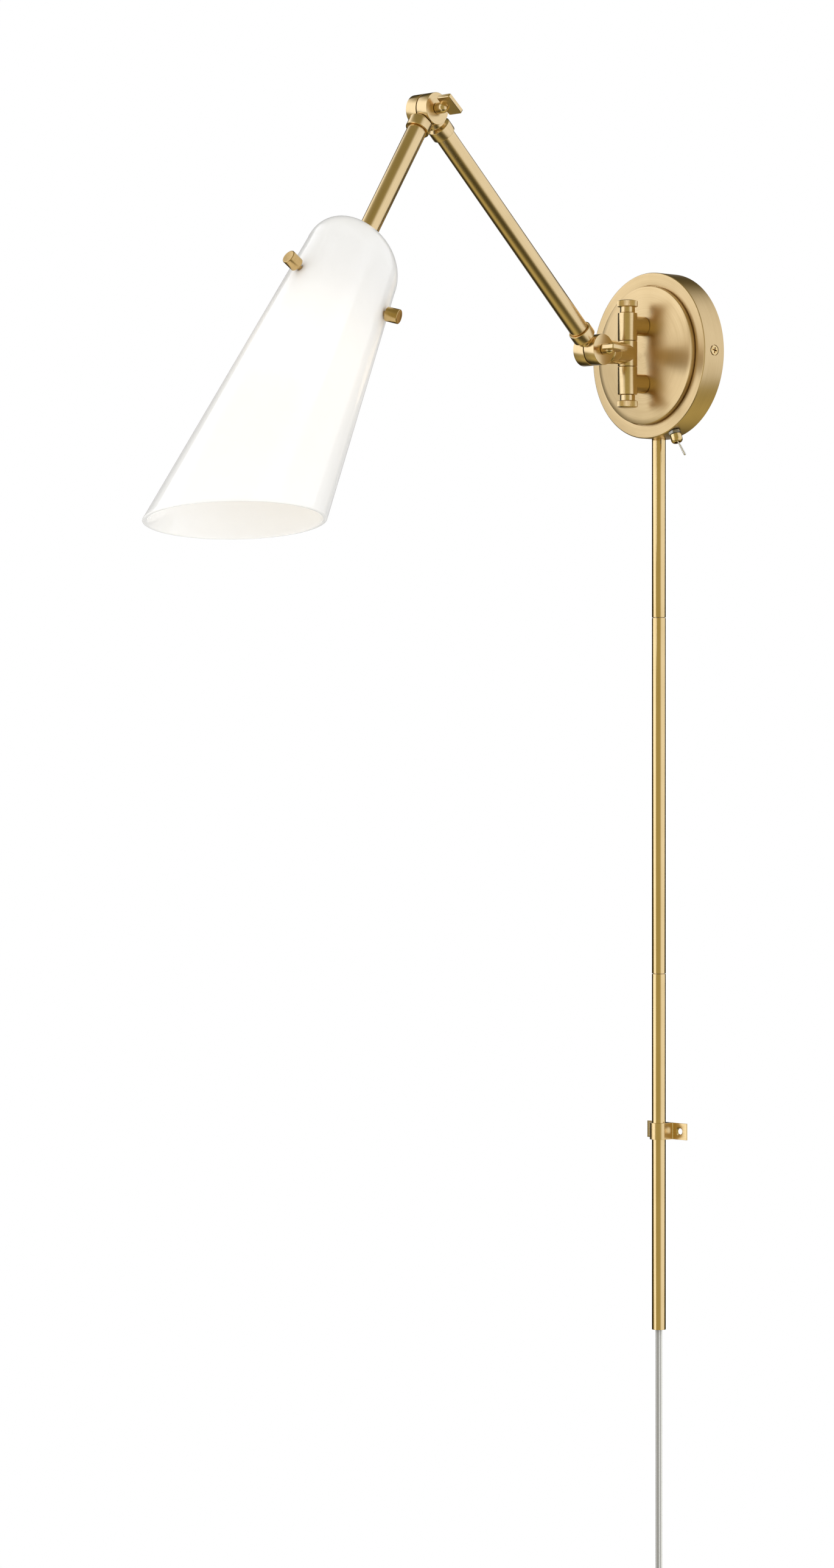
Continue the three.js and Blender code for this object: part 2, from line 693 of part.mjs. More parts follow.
/** A tube along z. */
function tube(radius, wall, from, to, segments = COARSE) {
  const profile = [
    [radius - wall, from],
    [radius, from],
    [radius, to],
    [radius - wall, to],
  ];
  return revolve(profile, segments);
}

// ---------------------------------------------------------------- shade
// Built with z along the glass axis from the pivot point towards the open end.

/** The glass outline from the top of the dome to the open end, at a depth in the wall. */
function shadeOutline(depth) {
  const taper = Math.tan(radians(SHADE_TAPER));
  const radiusAt = (z) => SHADE_RADIUS + taper * z - depth;
  const shoulder = DOME_SHOULDER - depth;
  const top = -DOME_HEIGHT + depth;
  const footRadius = radiusAt(-DOME_BASE);
  const centre = [footRadius - shoulder, top + shoulder];
  const points = [[0, top]];
  points.push([centre[0] * 0.55, top + 0.25]);
  points.push(...arc(centre[0], centre[1], shoulder, -90, 0, 6));
  for (const share of [0.33, 0.67, 1]) {
    const z = -DOME_BASE + (SHADE_LENGTH + DOME_BASE) * share;
    points.push([radiusAt(z), z]);
  }
  return points;
}

function shadeGlass() {
  const profile = [...shadeOutline(0), ...shadeOutline(SHADE_WALL).reverse()];
  const geometry = revolve(profile, FINE);
  // Each level of the glass leans: one way at the dome and the other way at the open end.
  const taper = Math.tan(radians(SHADE_TAPER));
  const atDome = -Math.tan(radians(DOME_TILT));
  const atEnd = Math.tan(radians(SHADE_CUT));
  const place = geometry.attributes.position;
  for (let i = 0; i < place.count; i++) {
    const [x, y, z] = [place.getX(i), place.getY(i), place.getZ(i)];
    const share = THREE.MathUtils.clamp((z + DOME_BASE) / (SHADE_LENGTH + DOME_BASE), 0, 1);
    const lean = atDome + (atEnd - atDome) * share;
    const r = Math.hypot(x, y);
    const across = r > 0 ? y / r : 0;
    const grown = r / (1 - taper * lean * across);
    const scale = r > 0 ? grown / r : 1;
    place.setXYZ(i, x * scale, y * scale, z + lean * across * grown);
  }
  return geometry;
}

/** Where the glass stands in the upper arm's frame. */
function shadePlace() {
  const place = new THREE.Matrix4().makeTranslation(0, 0, SHADE_PIVOT);
  place.multiply(new THREE.Matrix4().makeRotationX(radians(SHADE_SAG)));
  return place.multiply(new THREE.Matrix4().makeRotationZ(radians(SHADE_TURN)));
}

function glassShade() {
  const glass = solid(shadeGlass().applyMatrix4(shadePlace()));
  const hole = rod(TUBE_RADIUS + DOME_HOLE_GAP, SHADE_PIVOT - 2 * DOME_HEIGHT, SHADE_PIVOT - DOME_HEIGHT / 2);
  const tools = [solid(hole)];
  for (const turn of fitterTurns()) {
    const bore = rod(THUMB_SHANK_RADIUS + THUMB_HOLE_GAP, FITTER_RADIUS, THUMB_HEAD_CENTRE, TINY);
    tools.push(solid(bore.applyMatrix4(thumbPlace(turn))));
  }
  return geometryOf(cut(glass, ...tools));
}

// ---------------------------------------------------------------- fitter and lampholder

/** Angles of the three fitter screws. */
function fitterTurns() {
  return [0, 120, 240].map((step) => radians(FITTER_SCREW_TURN + step));
}

/** Turns z outward from the arm at a screw's angle, at the screws' station. */
function thumbPlace(turn) {
  const place = new THREE.Matrix4().makeTranslation(0, 0, FITTER_SCREW_STATION);
  place.multiply(new THREE.Matrix4().makeRotationZ(turn));
  return place.multiply(new THREE.Matrix4().makeRotationY(Math.PI / 2));
}

function shadeFitter() {
  const [r, w, e] = [FITTER_RADIUS, FITTER_WALL, FITTER_EDGE];
  const end = FITTER_TOP + FITTER_SKIRT;
  const cup = solid(
    revolve(
      [
        [THREAD_ROD_RADIUS + THREAD_GAP, FITTER_TOP],
        ...arc(r - e, FITTER_TOP + e, e, -90, 0, 2),
        [r, end],
        [r - w, end],
        ...arc(r - e, FITTER_TOP + e, e - w, 0, -90, 2),
        [THREAD_ROD_RADIUS + THREAD_GAP, FITTER_TOP + w],
      ],
      MEDIUM
    )
  );
  const bosses = [];
  const threads = [];
  for (const turn of fitterTurns()) {
    const boss = rod(FITTER_BOSS_RADIUS, r - FITTER_BOSS_INNER, r + FITTER_BOSS_OUTER, TINY);
    bosses.push(solid(boss.applyMatrix4(thumbPlace(turn))));
    const thread = rod(THUMB_SHANK_RADIUS + THREAD_GAP, r - 2 * FITTER_BOSS_INNER, r + 2 * e, TINY);
    threads.push(solid(thread.applyMatrix4(thumbPlace(turn))));
  }
  return geometryOf(cut(join(cup, ...bosses), ...threads));
}

/** Plain cylindrical thumb screw pointing along -z from its head. */
function thumbScrew() {
  const outer = THUMB_HEAD_CENTRE + THUMB_HEAD_LENGTH / 2;
  const inner = THUMB_HEAD_CENTRE - THUMB_HEAD_LENGTH / 2;
  const [r, e] = [THUMB_HEAD_RADIUS, THUMB_EDGE];
  return revolve(
    [
      [0, FITTER_RADIUS - THUMB_REACH],
      [THUMB_SHANK_RADIUS, FITTER_RADIUS - THUMB_REACH],
      [THUMB_SHANK_RADIUS, inner],
      [r - e, inner],
      [r, inner + e],
      [r, outer - e],
      [r - e, outer],
      [0, outer],
    ],
    SMALL
  );
}

function nut(flats, bore, from, to) {
  return prism(hexagon(flats), from, to, [circle(bore, SMALL)]);
}

const fitterNutTop = FITTER_TOP + FITTER_WALL + CLEARANCE;
const holderTop = fitterNutTop + LOCK_NUT_HEIGHT + CLEARANCE;

/** Lampholder: a hub on the threaded rod, a shoulder and an open shell. */
function lampholder() {
  const [r, w] = [HOLDER_RADIUS, HOLDER_WALL];
  const end = holderTop + HOLDER_LENGTH;
  const floor = holderTop + HOLDER_SHOULDER + HOLDER_FLOOR;
  const hub = THREAD_ROD_RADIUS + THREAD_GAP;
  return revolve(
    [
      [hub, holderTop],
      [r - HOLDER_NARROWING, holderTop],
      [r, holderTop + HOLDER_SHOULDER],
      [r, end],
      [r - w, end],
      [r - w, floor],
      [hub, floor],
    ],
    COARSE
  );
}

const bulbFoot = holderTop + HOLDER_SHOULDER + HOLDER_FLOOR + CLEARANCE;
const bulbNeck = bulbFoot + BULB_SCREW_LENGTH;

/** Threaded shell of the bulb's base, open towards the globe. */
function bulbBase() {
  const thread = bulbFoot + BULB_FOOT_HEIGHT;
  const pitch = (bulbNeck - thread) / BULB_SCREW_TURNS;
  const [crest, root] = [BULB_SCREW_RADIUS, BULB_SCREW_RADIUS - BULB_SCREW_DEPTH];
  const inside = root - BULB_SCREW_WALL;
  const profile = [
    [0, bulbFoot],
    [BULB_FOOT_RADIUS, bulbFoot],
    [inside, thread],
  ];
  for (let i = 0; i < BULB_SCREW_TURNS; i++) {
    profile.push([root, thread + pitch * (i + 0.15)]);
    profile.push([crest, thread + pitch * (i + 0.6)]);
  }
  profile.push([root, bulbNeck], [inside, bulbNeck]);
  profile.push([inside, thread + BULB_SCREW_WALL], [0, thread + BULB_SCREW_WALL]);
  return revolve(profile, SMALL);
}

/** Outline of the globe from its neck to its tip, moved inwards by the wall for the inside. */
function globeOutline(inset) {
  const start = bulbNeck + CLEARANCE;
  const neck = BULB_SCREW_RADIUS - 0.5;
  const middle = start + BULB_LENGTH - BULB_RADIUS;
  const radius = BULB_RADIUS - inset;
  return [
    [neck - inset, start],
    [neck + 1 - inset, start + 7],
    [neck + 4.5 - inset, start + 17],
    [BULB_RADIUS * 0.86 - inset, start + 28],
    [BULB_RADIUS * 0.97 - inset, start + 36],
    ...arc(0, middle, radius, 0, 72, 3),
    [0, middle + radius],
  ];
}

function bulbGlobe() {
  return revolve([...globeOutline(BULB_WALL).reverse(), ...globeOutline(0)], COARSE);
}

function threadedRod() {
  const wall = THREAD_ROD_RADIUS - THREAD_ROD_BORE;
  return tube(THREAD_ROD_RADIUS, wall, THREAD_ROD_START, THREAD_ROD_END, SMALL);
}

const upperTubeEnd = FITTER_TOP - CLEARANCE;

/** Threaded plug in the arm's end that the rod screws into. */
function tubePlug() {
  const outer = TUBE_RADIUS - TUBE_WALL - CLEARANCE;
  const bore = THREAD_ROD_RADIUS + THREAD_GAP;
  return tube(outer, outer - bore, THREAD_ROD_START, upperTubeEnd, SMALL);
}

// ---------------------------------------------------------------- toggle switch
// Built along +z, which points out of the rim from the canopy's centre; y points off the wall.

function switchPlace() {
  const place = new THREE.Matrix4().makeTranslation(0, 0, SWITCH_HEIGHT);
  place.multiply(new THREE.Matrix4().makeRotationZ(radians(SWITCH_ANGLE)));
  return place.multiply(new THREE.Matrix4().makeRotationX(Math.PI / 2));
}

function switchBody() {
  const [along, off, inwards] = SWITCH_BODY;
  const top = Math.sqrt(innerRadius ** 2 - (along / 2) ** 2) - CLEARANCE;
  const box = block([-along / 2, -off / 2, top - inwards], [along / 2, off / 2, top]);
  const bushing = rod(BUSHING_RADIUS, top - 1, innerRadius + BUSHING_LENGTH, SMALL);
  const seat = CANOPY_RADIUS + LEVER_PIVOT - LEVER_BALL_RADIUS - CLEARANCE;
  const bore = rod(BUSHING_BORE, seat, CANOPY_RADIUS + 2 * BUSHING_LENGTH, SMALL);
  return geometryOf(cut(join(solid(box), solid(bushing)), solid(bore)));
}

const switchNutFoot = CANOPY_RADIUS + CLEARANCE;
const dressNutFoot = switchNutFoot + SWITCH_NUT_HEIGHT + CLEARANCE;

function dressNut() {
  const bore = BUSHING_RADIUS + THREAD_GAP;
  const dome = dressNutFoot + DRESS_NUT_HEIGHT;
  const inside = innerRadius + BUSHING_LENGTH + CLEARANCE;
  return revolve(
    [
      [bore, dressNutFoot],
      [DRESS_NUT_RADIUS - 0.3, dressNutFoot],
      [DRESS_NUT_RADIUS, dressNutFoot + 0.3],
      [DRESS_NUT_RADIUS, dome],
      [DRESS_NUT_RADIUS * 0.94, dome + 1],
      [DRESS_NUT_RADIUS * 0.78, dome + 1.9],
      [DRESS_NUT_MOUTH, dome + 2.4],
      [DRESS_NUT_MOUTH, inside],
      [bore, inside],
    ],
    SMALL
  );
}

/** Toggle lever with the ball it turns on, along +z from the ball. */
function toggleLever() {
  return revolve(
    [
      [0, -LEVER_BALL_RADIUS],
      ...arc(0, 0, LEVER_BALL_RADIUS, -60, 60, 3),
      [LEVER_RADIUS, 2],
      [LEVER_TIP_RADIUS, LEVER_LENGTH - 2],
      ...arc(0, LEVER_LENGTH - LEVER_TIP_RADIUS, LEVER_TIP_RADIUS, 0, 60, 2),
      [0, LEVER_LENGTH],
    ],
    TINY
  );
}

// ---------------------------------------------------------------- conduit and clip
// The conduit is built along +z and stood at its offset from the wall.

const conduitJoint1 = CONDUIT_TOP - CONDUIT_UPPER_LENGTH;
const conduitJoint2 = conduitJoint1 - CONDUIT_SECTION_LENGTH;
const conduitEnd = conduitJoint2 - CONDUIT_SECTION_LENGTH;
const conduitInner = CONDUIT_RADIUS - CONDUIT_WALL;

function coupler(joint) {
  const outer = conduitInner - CLEARANCE;
  return tube(outer, COUPLER_WALL, joint - COUPLER_LENGTH / 2, joint + COUPLER_LENGTH / 2, SMALL);
}

function conduitNut() {
  const room = Math.sqrt(innerRadius ** 2 - (CONDUIT_NUT_FLATS / Math.sqrt(3)) ** 2);
  const top = -room + CLEARANCE + CONDUIT_NUT_HEIGHT;
  return nut(CONDUIT_NUT_FLATS, CONDUIT_RADIUS + THREAD_GAP, top - CONDUIT_NUT_HEIGHT, top);
}

function endBush() {
  const outer = conduitInner - CLEARANCE;
  const bore = CORD_WIDTH / 2 + CLEARANCE;
  return tube(outer, outer - bore, conduitEnd + 0.4, conduitEnd + BUSH_LENGTH, SMALL);
}

/** Omega strap drawn in x and distance from the wall, extruded upward. */
function strapClip() {
  const inner = CONDUIT_RADIUS + CLEARANCE;
  const outer = inner + CLIP_THICKNESS;
  const t = CLIP_THICKNESS;
  const b = CLIP_BEND;
  const outline = [
    [CLIP_HALF_WIDTH, 0],
    [CLIP_HALF_WIDTH, t],
    ...arc(outer + b, t + b, b, 270, 180, 3),
    ...arc(0, CONDUIT_OFFSET, outer, 0, 180, 14),
    ...arc(-outer - b, t + b, b, 0, -90, 3),
    [-CLIP_HALF_WIDTH, t],
    [-CLIP_HALF_WIDTH, 0],
    [-inner, 0],
    ...arc(0, CONDUIT_OFFSET, inner, 180, 0, 14),
    [inner, 0],
  ];
  // Outline x stays x, outline y points away from the wall.
  const strap = prism(outline, CLIP_Z - CLIP_HEIGHT / 2, CLIP_Z + CLIP_HEIGHT / 2);
  strap.scale(1, -1, 1);
  const tools = [];
  for (const side of [-1, 1]) {
    const sink = revolve(
      [
        [0, -1],
        [CLIP_HOLE_RADIUS, -1],
        [CLIP_HOLE_RADIUS, 0.2],
        [CLIP_SINK_RADIUS, t + 0.01],
        [CLIP_SINK_RADIUS, t + 1],
        [0, t + 1],
      ],
      SMALL
    );
    sink.rotateX(Math.PI / 2).translate(side * CLIP_HOLE_OFFSET, 0, CLIP_Z);
    tools.push(solid(sink));
  }
  return geometryOf(cut(solid(strap), ...tools));
}

// ---------------------------------------------------------------- cord, coil and plug

function cordDrop() {
  const points = CORD_ROUTE.map(([x, z]) => new THREE.Vector3(x, -CONDUIT_OFFSET, z));
  const path = new THREE.CatmullRomCurve3(points, false, "centripetal");
  const [a, b] = [CORD_WIDTH / 2, CORD_THICKNESS / 2];
  // Flat section: its width runs square to the wall.
  const section = [
    ...arc(0, a - b, b, 0, 180, 3),
    ...arc(0, -(a - b), b, 180, 360, 3),
  ];
  const shape = new THREE.Shape(section.map(([x, y]) => new THREE.Vector2(x, y)));
  return new THREE.ExtrudeGeometry(shape, { extrudePath: path, steps: 16, bevelEnabled: false });
}

/** The tied coil as one ring about an axis square to the wall. */
function cordCoil() {
  const c = COIL_CORNER;
  const [x0, x1, y0, y1] = [COIL_INNER_RADIUS, COIL_OUTER_RADIUS, COIL_BACK, COIL_BACK + COIL_WIDTH];
  const ring = revolve(
    [
      ...arc(x1 - c, y1 - c, c, 0, 90, 1),
      ...arc(x0 + c, y1 - c, c, 90, 180, 1),
      ...arc(x0 + c, y0 + c, c, 180, 270, 1),
      ...arc(x1 - c, y0 + c, c, 270, 360, 1),
    ],
    MEDIUM
  );
  return ring.rotateX(Math.PI / 2).translate(0, 0, COIL_CENTRE_Z);
}

/** Tie round the coil's bundle. */
function cordTie() {
  const [w, h] = [COIL_WIDTH, COIL_OUTER_RADIUS - COIL_INNER_RADIUS];
  const [inner, outer] = [TIE_GAP, TIE_GAP + TIE_THICKNESS];
  const inside = roundedRectangle(h + 2 * inner, w + 2 * inner, TIE_CORNER, 1);
  const corner = TIE_CORNER + TIE_THICKNESS;
  const outside = roundedRectangle(h + 2 * outer, w + 2 * outer, corner, 1);
  const band = prism(outside, -TIE_WIDTH / 2, TIE_WIDTH / 2, [inside]);
  const turn = radians(TIE_ANGLE);
  const middle = (COIL_INNER_RADIUS + COIL_OUTER_RADIUS) / 2;
  const place = new THREE.Matrix4();
  const radial = new THREE.Vector3(Math.cos(turn), 0, Math.sin(turn));
  const outward = new THREE.Vector3(0, -1, 0);
  place.makeBasis(radial, outward, new THREE.Vector3().crossVectors(radial, outward));
  const centre = radial.clone().multiplyScalar(middle);
  place.setPosition(centre.x, -(COIL_BACK + COIL_WIDTH / 2), COIL_CENTRE_Z + centre.z);
  return band.applyMatrix4(place);
}

const plugTop = PLUG_RELIEF_TOP - PLUG_RELIEF_LENGTH;
const plugEnd = plugTop - PLUG_BODY_LENGTH;

function plugBody() {
  const [top, middle, foot] = PLUG_RELIEF_RADII;
  const relief = revolve(
    [
      [0, plugTop - 1],
      [foot, plugTop - 1],
      [middle, plugTop + PLUG_RELIEF_LENGTH / 2],
      [top, PLUG_RELIEF_TOP],
      [0, PLUG_RELIEF_TOP],
    ],
    SMALL
  );
  const shape = roundedRectangle(PLUG_BODY_WIDTH, PLUG_BODY_DEPTH, PLUG_CORNER);
  const body = solid(prism(shape, plugEnd, plugTop));
  const slots = [];
  for (const side of [-1, 1]) {
    const x = (side * BLADE_SPACING) / 2;
    const [t, w] = [BLADE_THICKNESS / 2 + CLEARANCE, BLADE_WIDTH / 2 + CLEARANCE];
    slots.push(
      solid(block([x - t, -w, plugEnd - 1], [x + t, w, plugEnd + BLADE_SEAT + CLEARANCE]))
    );
  }
  return geometryOf(cut(join(body, solid(relief)), ...slots));
}

function plugBlade(side) {
  const x = (side * BLADE_SPACING) / 2;
  const [w, tip] = [BLADE_WIDTH / 2, plugEnd - BLADE_LENGTH];
  const outline = [
    [-w, tip + BLADE_TIP],
    [-w + BLADE_TIP, tip],
    [w - BLADE_TIP, tip],
    [w, tip + BLADE_TIP],
    [w, plugEnd + BLADE_SEAT],
    [-w, plugEnd + BLADE_SEAT],
  ];
  const eye = circle(BLADE_EYE_RADIUS, TINY, 0, tip + BLADE_EYE_OFFSET);
  const blade = prism(outline, -BLADE_THICKNESS / 2, BLADE_THICKNESS / 2, [eye]);
  // Outline x becomes y and outline y becomes z.
  return blade.rotateX(Math.PI / 2).rotateZ(Math.PI / 2).translate(x, 0, 0);
}

// ---------------------------------------------------------------- assembly

/** A group with its own place. */
function group(parent, x = 0, y = 0, z = 0) {
  const made = new THREE.Group();
  made.position.set(x, y, z);
  parent.add(made);
  return made;
}

const sconce = new THREE.Group();
sconce.name = "swing_arm_wall_sconce";

// In this group z points away from the wall.
const wall = group(sconce);
wall.rotation.x = Math.PI / 2;
wall.add(piece("canopy_cover", canopyCover(), "brass"));
wall.add(piece("wall_bracket", wallBracket(), "steel"));
wall.add(piece("side_screw_right", sideScrew(1), "polishedBrass"));
wall.add(piece("side_screw_left", sideScrew(-1), "polishedBrass"));
wall.add(piece("upper_hinge_bracket", hingeBracket(1), "brass"));
wall.add(piece("lower_hinge_bracket", hingeBracket(-1), "brass"));
wall.add(piece("upper_post_screw", postScrew(1), "steel"));
wall.add(piece("lower_post_screw", postScrew(-1), "steel"));

// Switch, in a group whose z points out of the rim.
const rimSwitch = group(wall);
rimSwitch.applyMatrix4(switchPlace());
rimSwitch.add(piece("switch_body", switchBody(), "steel"));
rimSwitch.add(
  piece(
    "switch_lock_nut",
    nut(SWITCH_NUT_FLATS, BUSHING_RADIUS + THREAD_GAP, switchNutFoot, switchNutFoot + SWITCH_NUT_HEIGHT),
    "steel"
  )
);
rimSwitch.add(piece("switch_dress_nut", dressNut(), "polishedBrass"));
const leverSeat = group(rimSwitch, 0, 0, CANOPY_RADIUS + LEVER_PIVOT);
leverSeat.rotation.x = radians(LEVER_TILT);
leverSeat.add(piece("toggle_lever", toggleLever(), "chrome"));

// Hinge: the pin and caps stand on the hinge axis.
const hinge = group(sconce, 0, -HINGE_OFFSET, 0);
hinge.add(piece("hinge_pin", hingePin(), "steel"));
hinge.add(piece("upper_hinge_cap", knurledCap(), "brass"));
const lowerCap = group(hinge);
lowerCap.rotation.x = Math.PI;
lowerCap.add(piece("lower_hinge_cap", knurledCap(), "brass"));

// Swinging assembly: -y points outward along the stub.
const swing = group(hinge);
swing.rotation.z = radians(SWING_ANGLE);
swing.add(piece("swing_tee", swingTee(), "brass"));

const stubCollarEnd = STUB_LENGTH - BOSS_LENGTH - CLEARANCE;
const lowerPivot = group(swing, 0, -STUB_LENGTH, 0);
const stubHalf = group(lowerPivot);
stubHalf.rotation.x = -Math.PI / 2;
stubHalf.add(
  piece(
    "lower_knuckle_inner",
    knuckleHalf(-1, STUB_COLLAR_START, stubCollarEnd, BOSS_SPIGOT_RADIUS + THREAD_GAP),
    "brass"
  )
);
lowerPivot.add(piece("lower_friction_washer", frictionWasher(), "fibre"));

// Lower arm: z runs from the lower pivot to the elbow.
const lowerArm = group(lowerPivot);
lowerArm.rotation.x = radians(90 - LOWER_ARM_RISE);
lowerArm.add(piece("lower_knuckle_outer", knuckleHalf(1, ...LOWER_COLLAR, socketRadius), "brass"));
const lowerTubeStart = LOWER_COLLAR[1] - SOCKET_DEPTH + CLEARANCE;
const lowerTubeEnd = LOWER_ARM_LENGTH - ELBOW_COLLAR[1] + SOCKET_DEPTH - CLEARANCE;
lowerArm.add(
  piece("lower_arm_tube", tube(TUBE_RADIUS, TUBE_WALL, lowerTubeStart, lowerTubeEnd), "brassTube")
);
const lowerKey = group(lowerArm);
lowerKey.rotation.x = radians(LOWER_KEY_TURN);
lowerKey.add(piece("lower_thumb_key", thumbKey(LOWER_KEY_OFFSET), "brass"));

const elbow = group(lowerArm, 0, 0, LOWER_ARM_LENGTH);
const elbowInner = group(elbow);
elbowInner.rotation.y = Math.PI;
elbowInner.add(piece("elbow_knuckle_inner", knuckleHalf(-1, ...ELBOW_COLLAR, socketRadius), "brass"));
elbow.add(piece("elbow_friction_washer", frictionWasher(), "fibre"));
const elbowKey = group(elbow);
elbowKey.rotation.x = radians(ELBOW_KEY_TURN);
elbowKey.add(piece("elbow_thumb_key", thumbKey(ELBOW_KEY_OFFSET), "brass"));

// Upper arm: z runs from the elbow to the shade.
const upperArm = group(elbow);
upperArm.rotation.x = radians(LOWER_ARM_RISE + UPPER_ARM_DROP);
upperArm.add(piece("elbow_knuckle_outer", knuckleHalf(-1, ...UPPER_COLLAR, socketRadius), "brass"));
const upperTubeStart = UPPER_COLLAR[1] - SOCKET_DEPTH + CLEARANCE;
upperArm.add(
  piece("upper_arm_tube", tube(TUBE_RADIUS, TUBE_WALL, upperTubeStart, upperTubeEnd), "brassTube")
);
upperArm.add(piece("tube_end_plug", tubePlug(), "brass"));
upperArm.add(piece("fitter_threaded_rod", threadedRod(), "steel"));
upperArm.add(piece("shade_fitter", shadeFitter(), "brass"));
upperArm.add(
  piece(
    "fitter_lock_nut",
    nut(LOCK_NUT_FLATS, THREAD_ROD_RADIUS + THREAD_GAP, fitterNutTop, fitterNutTop + LOCK_NUT_HEIGHT),
    "steel"
  )
);
upperArm.add(piece("lampholder", lampholder(), "porcelain"));
upperArm.add(piece("bulb_base", bulbBase(), "steel"));
upperArm.add(piece("bulb_globe", bulbGlobe(), "bulbGlass"));
upperArm.add(piece("glass_shade", glassShade(), "opalGlass"));
fitterTurns().forEach((turn, i) => {
  const seat = group(upperArm);
  seat.applyMatrix4(thumbPlace(turn));
  seat.add(piece(`thumb_screw_${i + 1}`, thumbScrew(), "brass"));
});

// Conduit down the wall.
const conduit = group(sconce, 0, -CONDUIT_OFFSET, 0);
const sections = [
  ["conduit_upper", CONDUIT_TOP, conduitJoint1],
  ["conduit_middle", conduitJoint1, conduitJoint2],
  ["conduit_lower", conduitJoint2, conduitEnd],
];
for (const [name, top, bottom] of sections) {
  const head = top === CONDUIT_TOP ? top : top - CLEARANCE;
  conduit.add(piece(name, tube(CONDUIT_RADIUS, CONDUIT_WALL, bottom, head), "brassTube"));
}
conduit.add(piece("conduit_coupler_1", coupler(conduitJoint1), "steel"));
conduit.add(piece("conduit_coupler_2", coupler(conduitJoint2), "steel"));
conduit.add(piece("conduit_nut", conduitNut(), "steel"));
conduit.add(piece("conduit_end_bush", endBush(), "blackPlastic"));
sconce.add(piece("strap_clip", strapClip(), "brass"));

// Cord below the conduit.
sconce.add(piece("cord_drop", cordDrop(), "clearPlastic"));
sconce.add(piece("cord_coil", cordCoil(), "clearPlastic"));
sconce.add(piece("cord_tie", cordTie(), "blackPlastic"));
const plug = group(sconce, PLUG_X, -PLUG_OFFSET, 0);
plug.add(piece("plug_body", plugBody(), "clearPlastic"));
plug.add(piece("plug_blade_left", plugBlade(-1), "polishedBrass"));
plug.add(piece("plug_blade_right", plugBlade(1), "polishedBrass"));

export default sconce;
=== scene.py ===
# %% [markdown]
# # Swing arm wall sconce
# A plug-in wall lamp: a round brass canopy with a vertical hinge, two brass arms on friction
# knuckles, a slanted opal glass shade and a rigid conduit that takes the cord down the wall.
# The CAD frame gives the size, the place and the joints of every part. This file gives the
# parts their finished surfaces: nearly all of them were turned on a lathe, so most shapes here
# are a profile carried round an axis.

import json

import bmesh
import bpy
import numpy as np
from mathutils import Matrix, Vector


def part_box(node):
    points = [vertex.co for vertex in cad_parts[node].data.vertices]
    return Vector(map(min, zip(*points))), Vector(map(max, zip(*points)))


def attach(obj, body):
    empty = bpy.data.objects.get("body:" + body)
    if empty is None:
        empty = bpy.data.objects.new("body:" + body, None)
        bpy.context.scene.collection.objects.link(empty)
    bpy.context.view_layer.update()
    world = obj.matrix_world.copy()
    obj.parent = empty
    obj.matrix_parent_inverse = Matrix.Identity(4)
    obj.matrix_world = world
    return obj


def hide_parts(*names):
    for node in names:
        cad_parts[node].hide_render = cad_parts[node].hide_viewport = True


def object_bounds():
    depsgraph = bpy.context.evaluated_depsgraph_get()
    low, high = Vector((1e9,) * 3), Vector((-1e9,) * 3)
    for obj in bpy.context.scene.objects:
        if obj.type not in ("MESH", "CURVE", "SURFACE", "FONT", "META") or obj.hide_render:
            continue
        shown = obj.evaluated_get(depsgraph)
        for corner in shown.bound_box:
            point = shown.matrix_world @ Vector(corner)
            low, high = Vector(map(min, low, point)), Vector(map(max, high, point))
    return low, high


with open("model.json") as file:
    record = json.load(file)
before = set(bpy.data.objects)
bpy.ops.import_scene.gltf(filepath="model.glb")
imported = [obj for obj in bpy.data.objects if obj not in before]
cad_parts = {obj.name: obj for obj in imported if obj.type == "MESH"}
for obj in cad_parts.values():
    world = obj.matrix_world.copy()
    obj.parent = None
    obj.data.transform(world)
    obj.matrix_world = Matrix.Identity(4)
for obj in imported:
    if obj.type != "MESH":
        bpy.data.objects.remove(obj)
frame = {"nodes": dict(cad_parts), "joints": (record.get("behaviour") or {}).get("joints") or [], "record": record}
cad_box = [list(corner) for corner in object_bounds()]
JOINTS = {joint["name"]: joint for joint in frame["joints"]}
BODY = {node: body for body, nodes in frame["record"]["behaviour"]["bodies"].items() for node in nodes}

# %% [markdown]
# ## Camera
# A long lens, level, standing to the right of the lamp and a little below the canopy. A long
# lens keeps the upright conduit upright and the circles true, as in a catalogue picture. A
# camera can be aimed at an empty with a constraint, but a place and a heading are enough here,
# and a level camera has no other angle to set.

# %% Camera
LENS = 100.0
SENSOR = 36.0
EYE = Vector((2.3330, -2.1496, -0.3102))
HEADING = np.radians(50.639)

lens = bpy.data.cameras.new("studio_camera")
lens.lens = LENS
lens.sensor_width = SENSOR
lens.clip_end = 50
camera = bpy.data.objects.new("studio_camera", lens)
camera.location = EYE
camera.rotation_euler = (np.pi / 2, 0, HEADING)
bpy.context.scene.collection.objects.link(camera)
bpy.context.scene.camera = camera
print("camera", round(EYE.length, 2), "m from the canopy, lens", LENS, "mm")

# %% [markdown]
# ## Drawing helpers
# Every shape is drawn in millimetres in a frame of its own and then stood in its place on the
# lamp. A place is an origin and three axes; a turned part has its axis along z of its place.
# Objects could be moved and turned instead, but with the place worked into the mesh, patterns
# and joints all share the lamp's own coordinates.

# %% Places
MM = 0.001
X, Y, Z = np.eye(3)
LAMP = (np.zeros(3), np.eye(3))


def unit(vector):
    """A vector divided by its length."""
    return np.asarray(vector, float) / np.linalg.norm(vector)


def stand(origin, axis, side=None):
    """A place: its z runs along axis, its x is the part of side that is square to the axis."""
    z = unit(axis)
    if side is None:
        side = X if abs(z[0]) < 0.9 else Y
    x = unit(side - z * np.dot(side, z))
    return np.asarray(origin, float), np.stack([x, np.cross(z, x), z])


def pivot(name):
    """A joint's point in millimetres and its axis."""
    joint = JOINTS[name]
    return np.array(joint["pos_m"]) / MM, unit(joint["axis"])


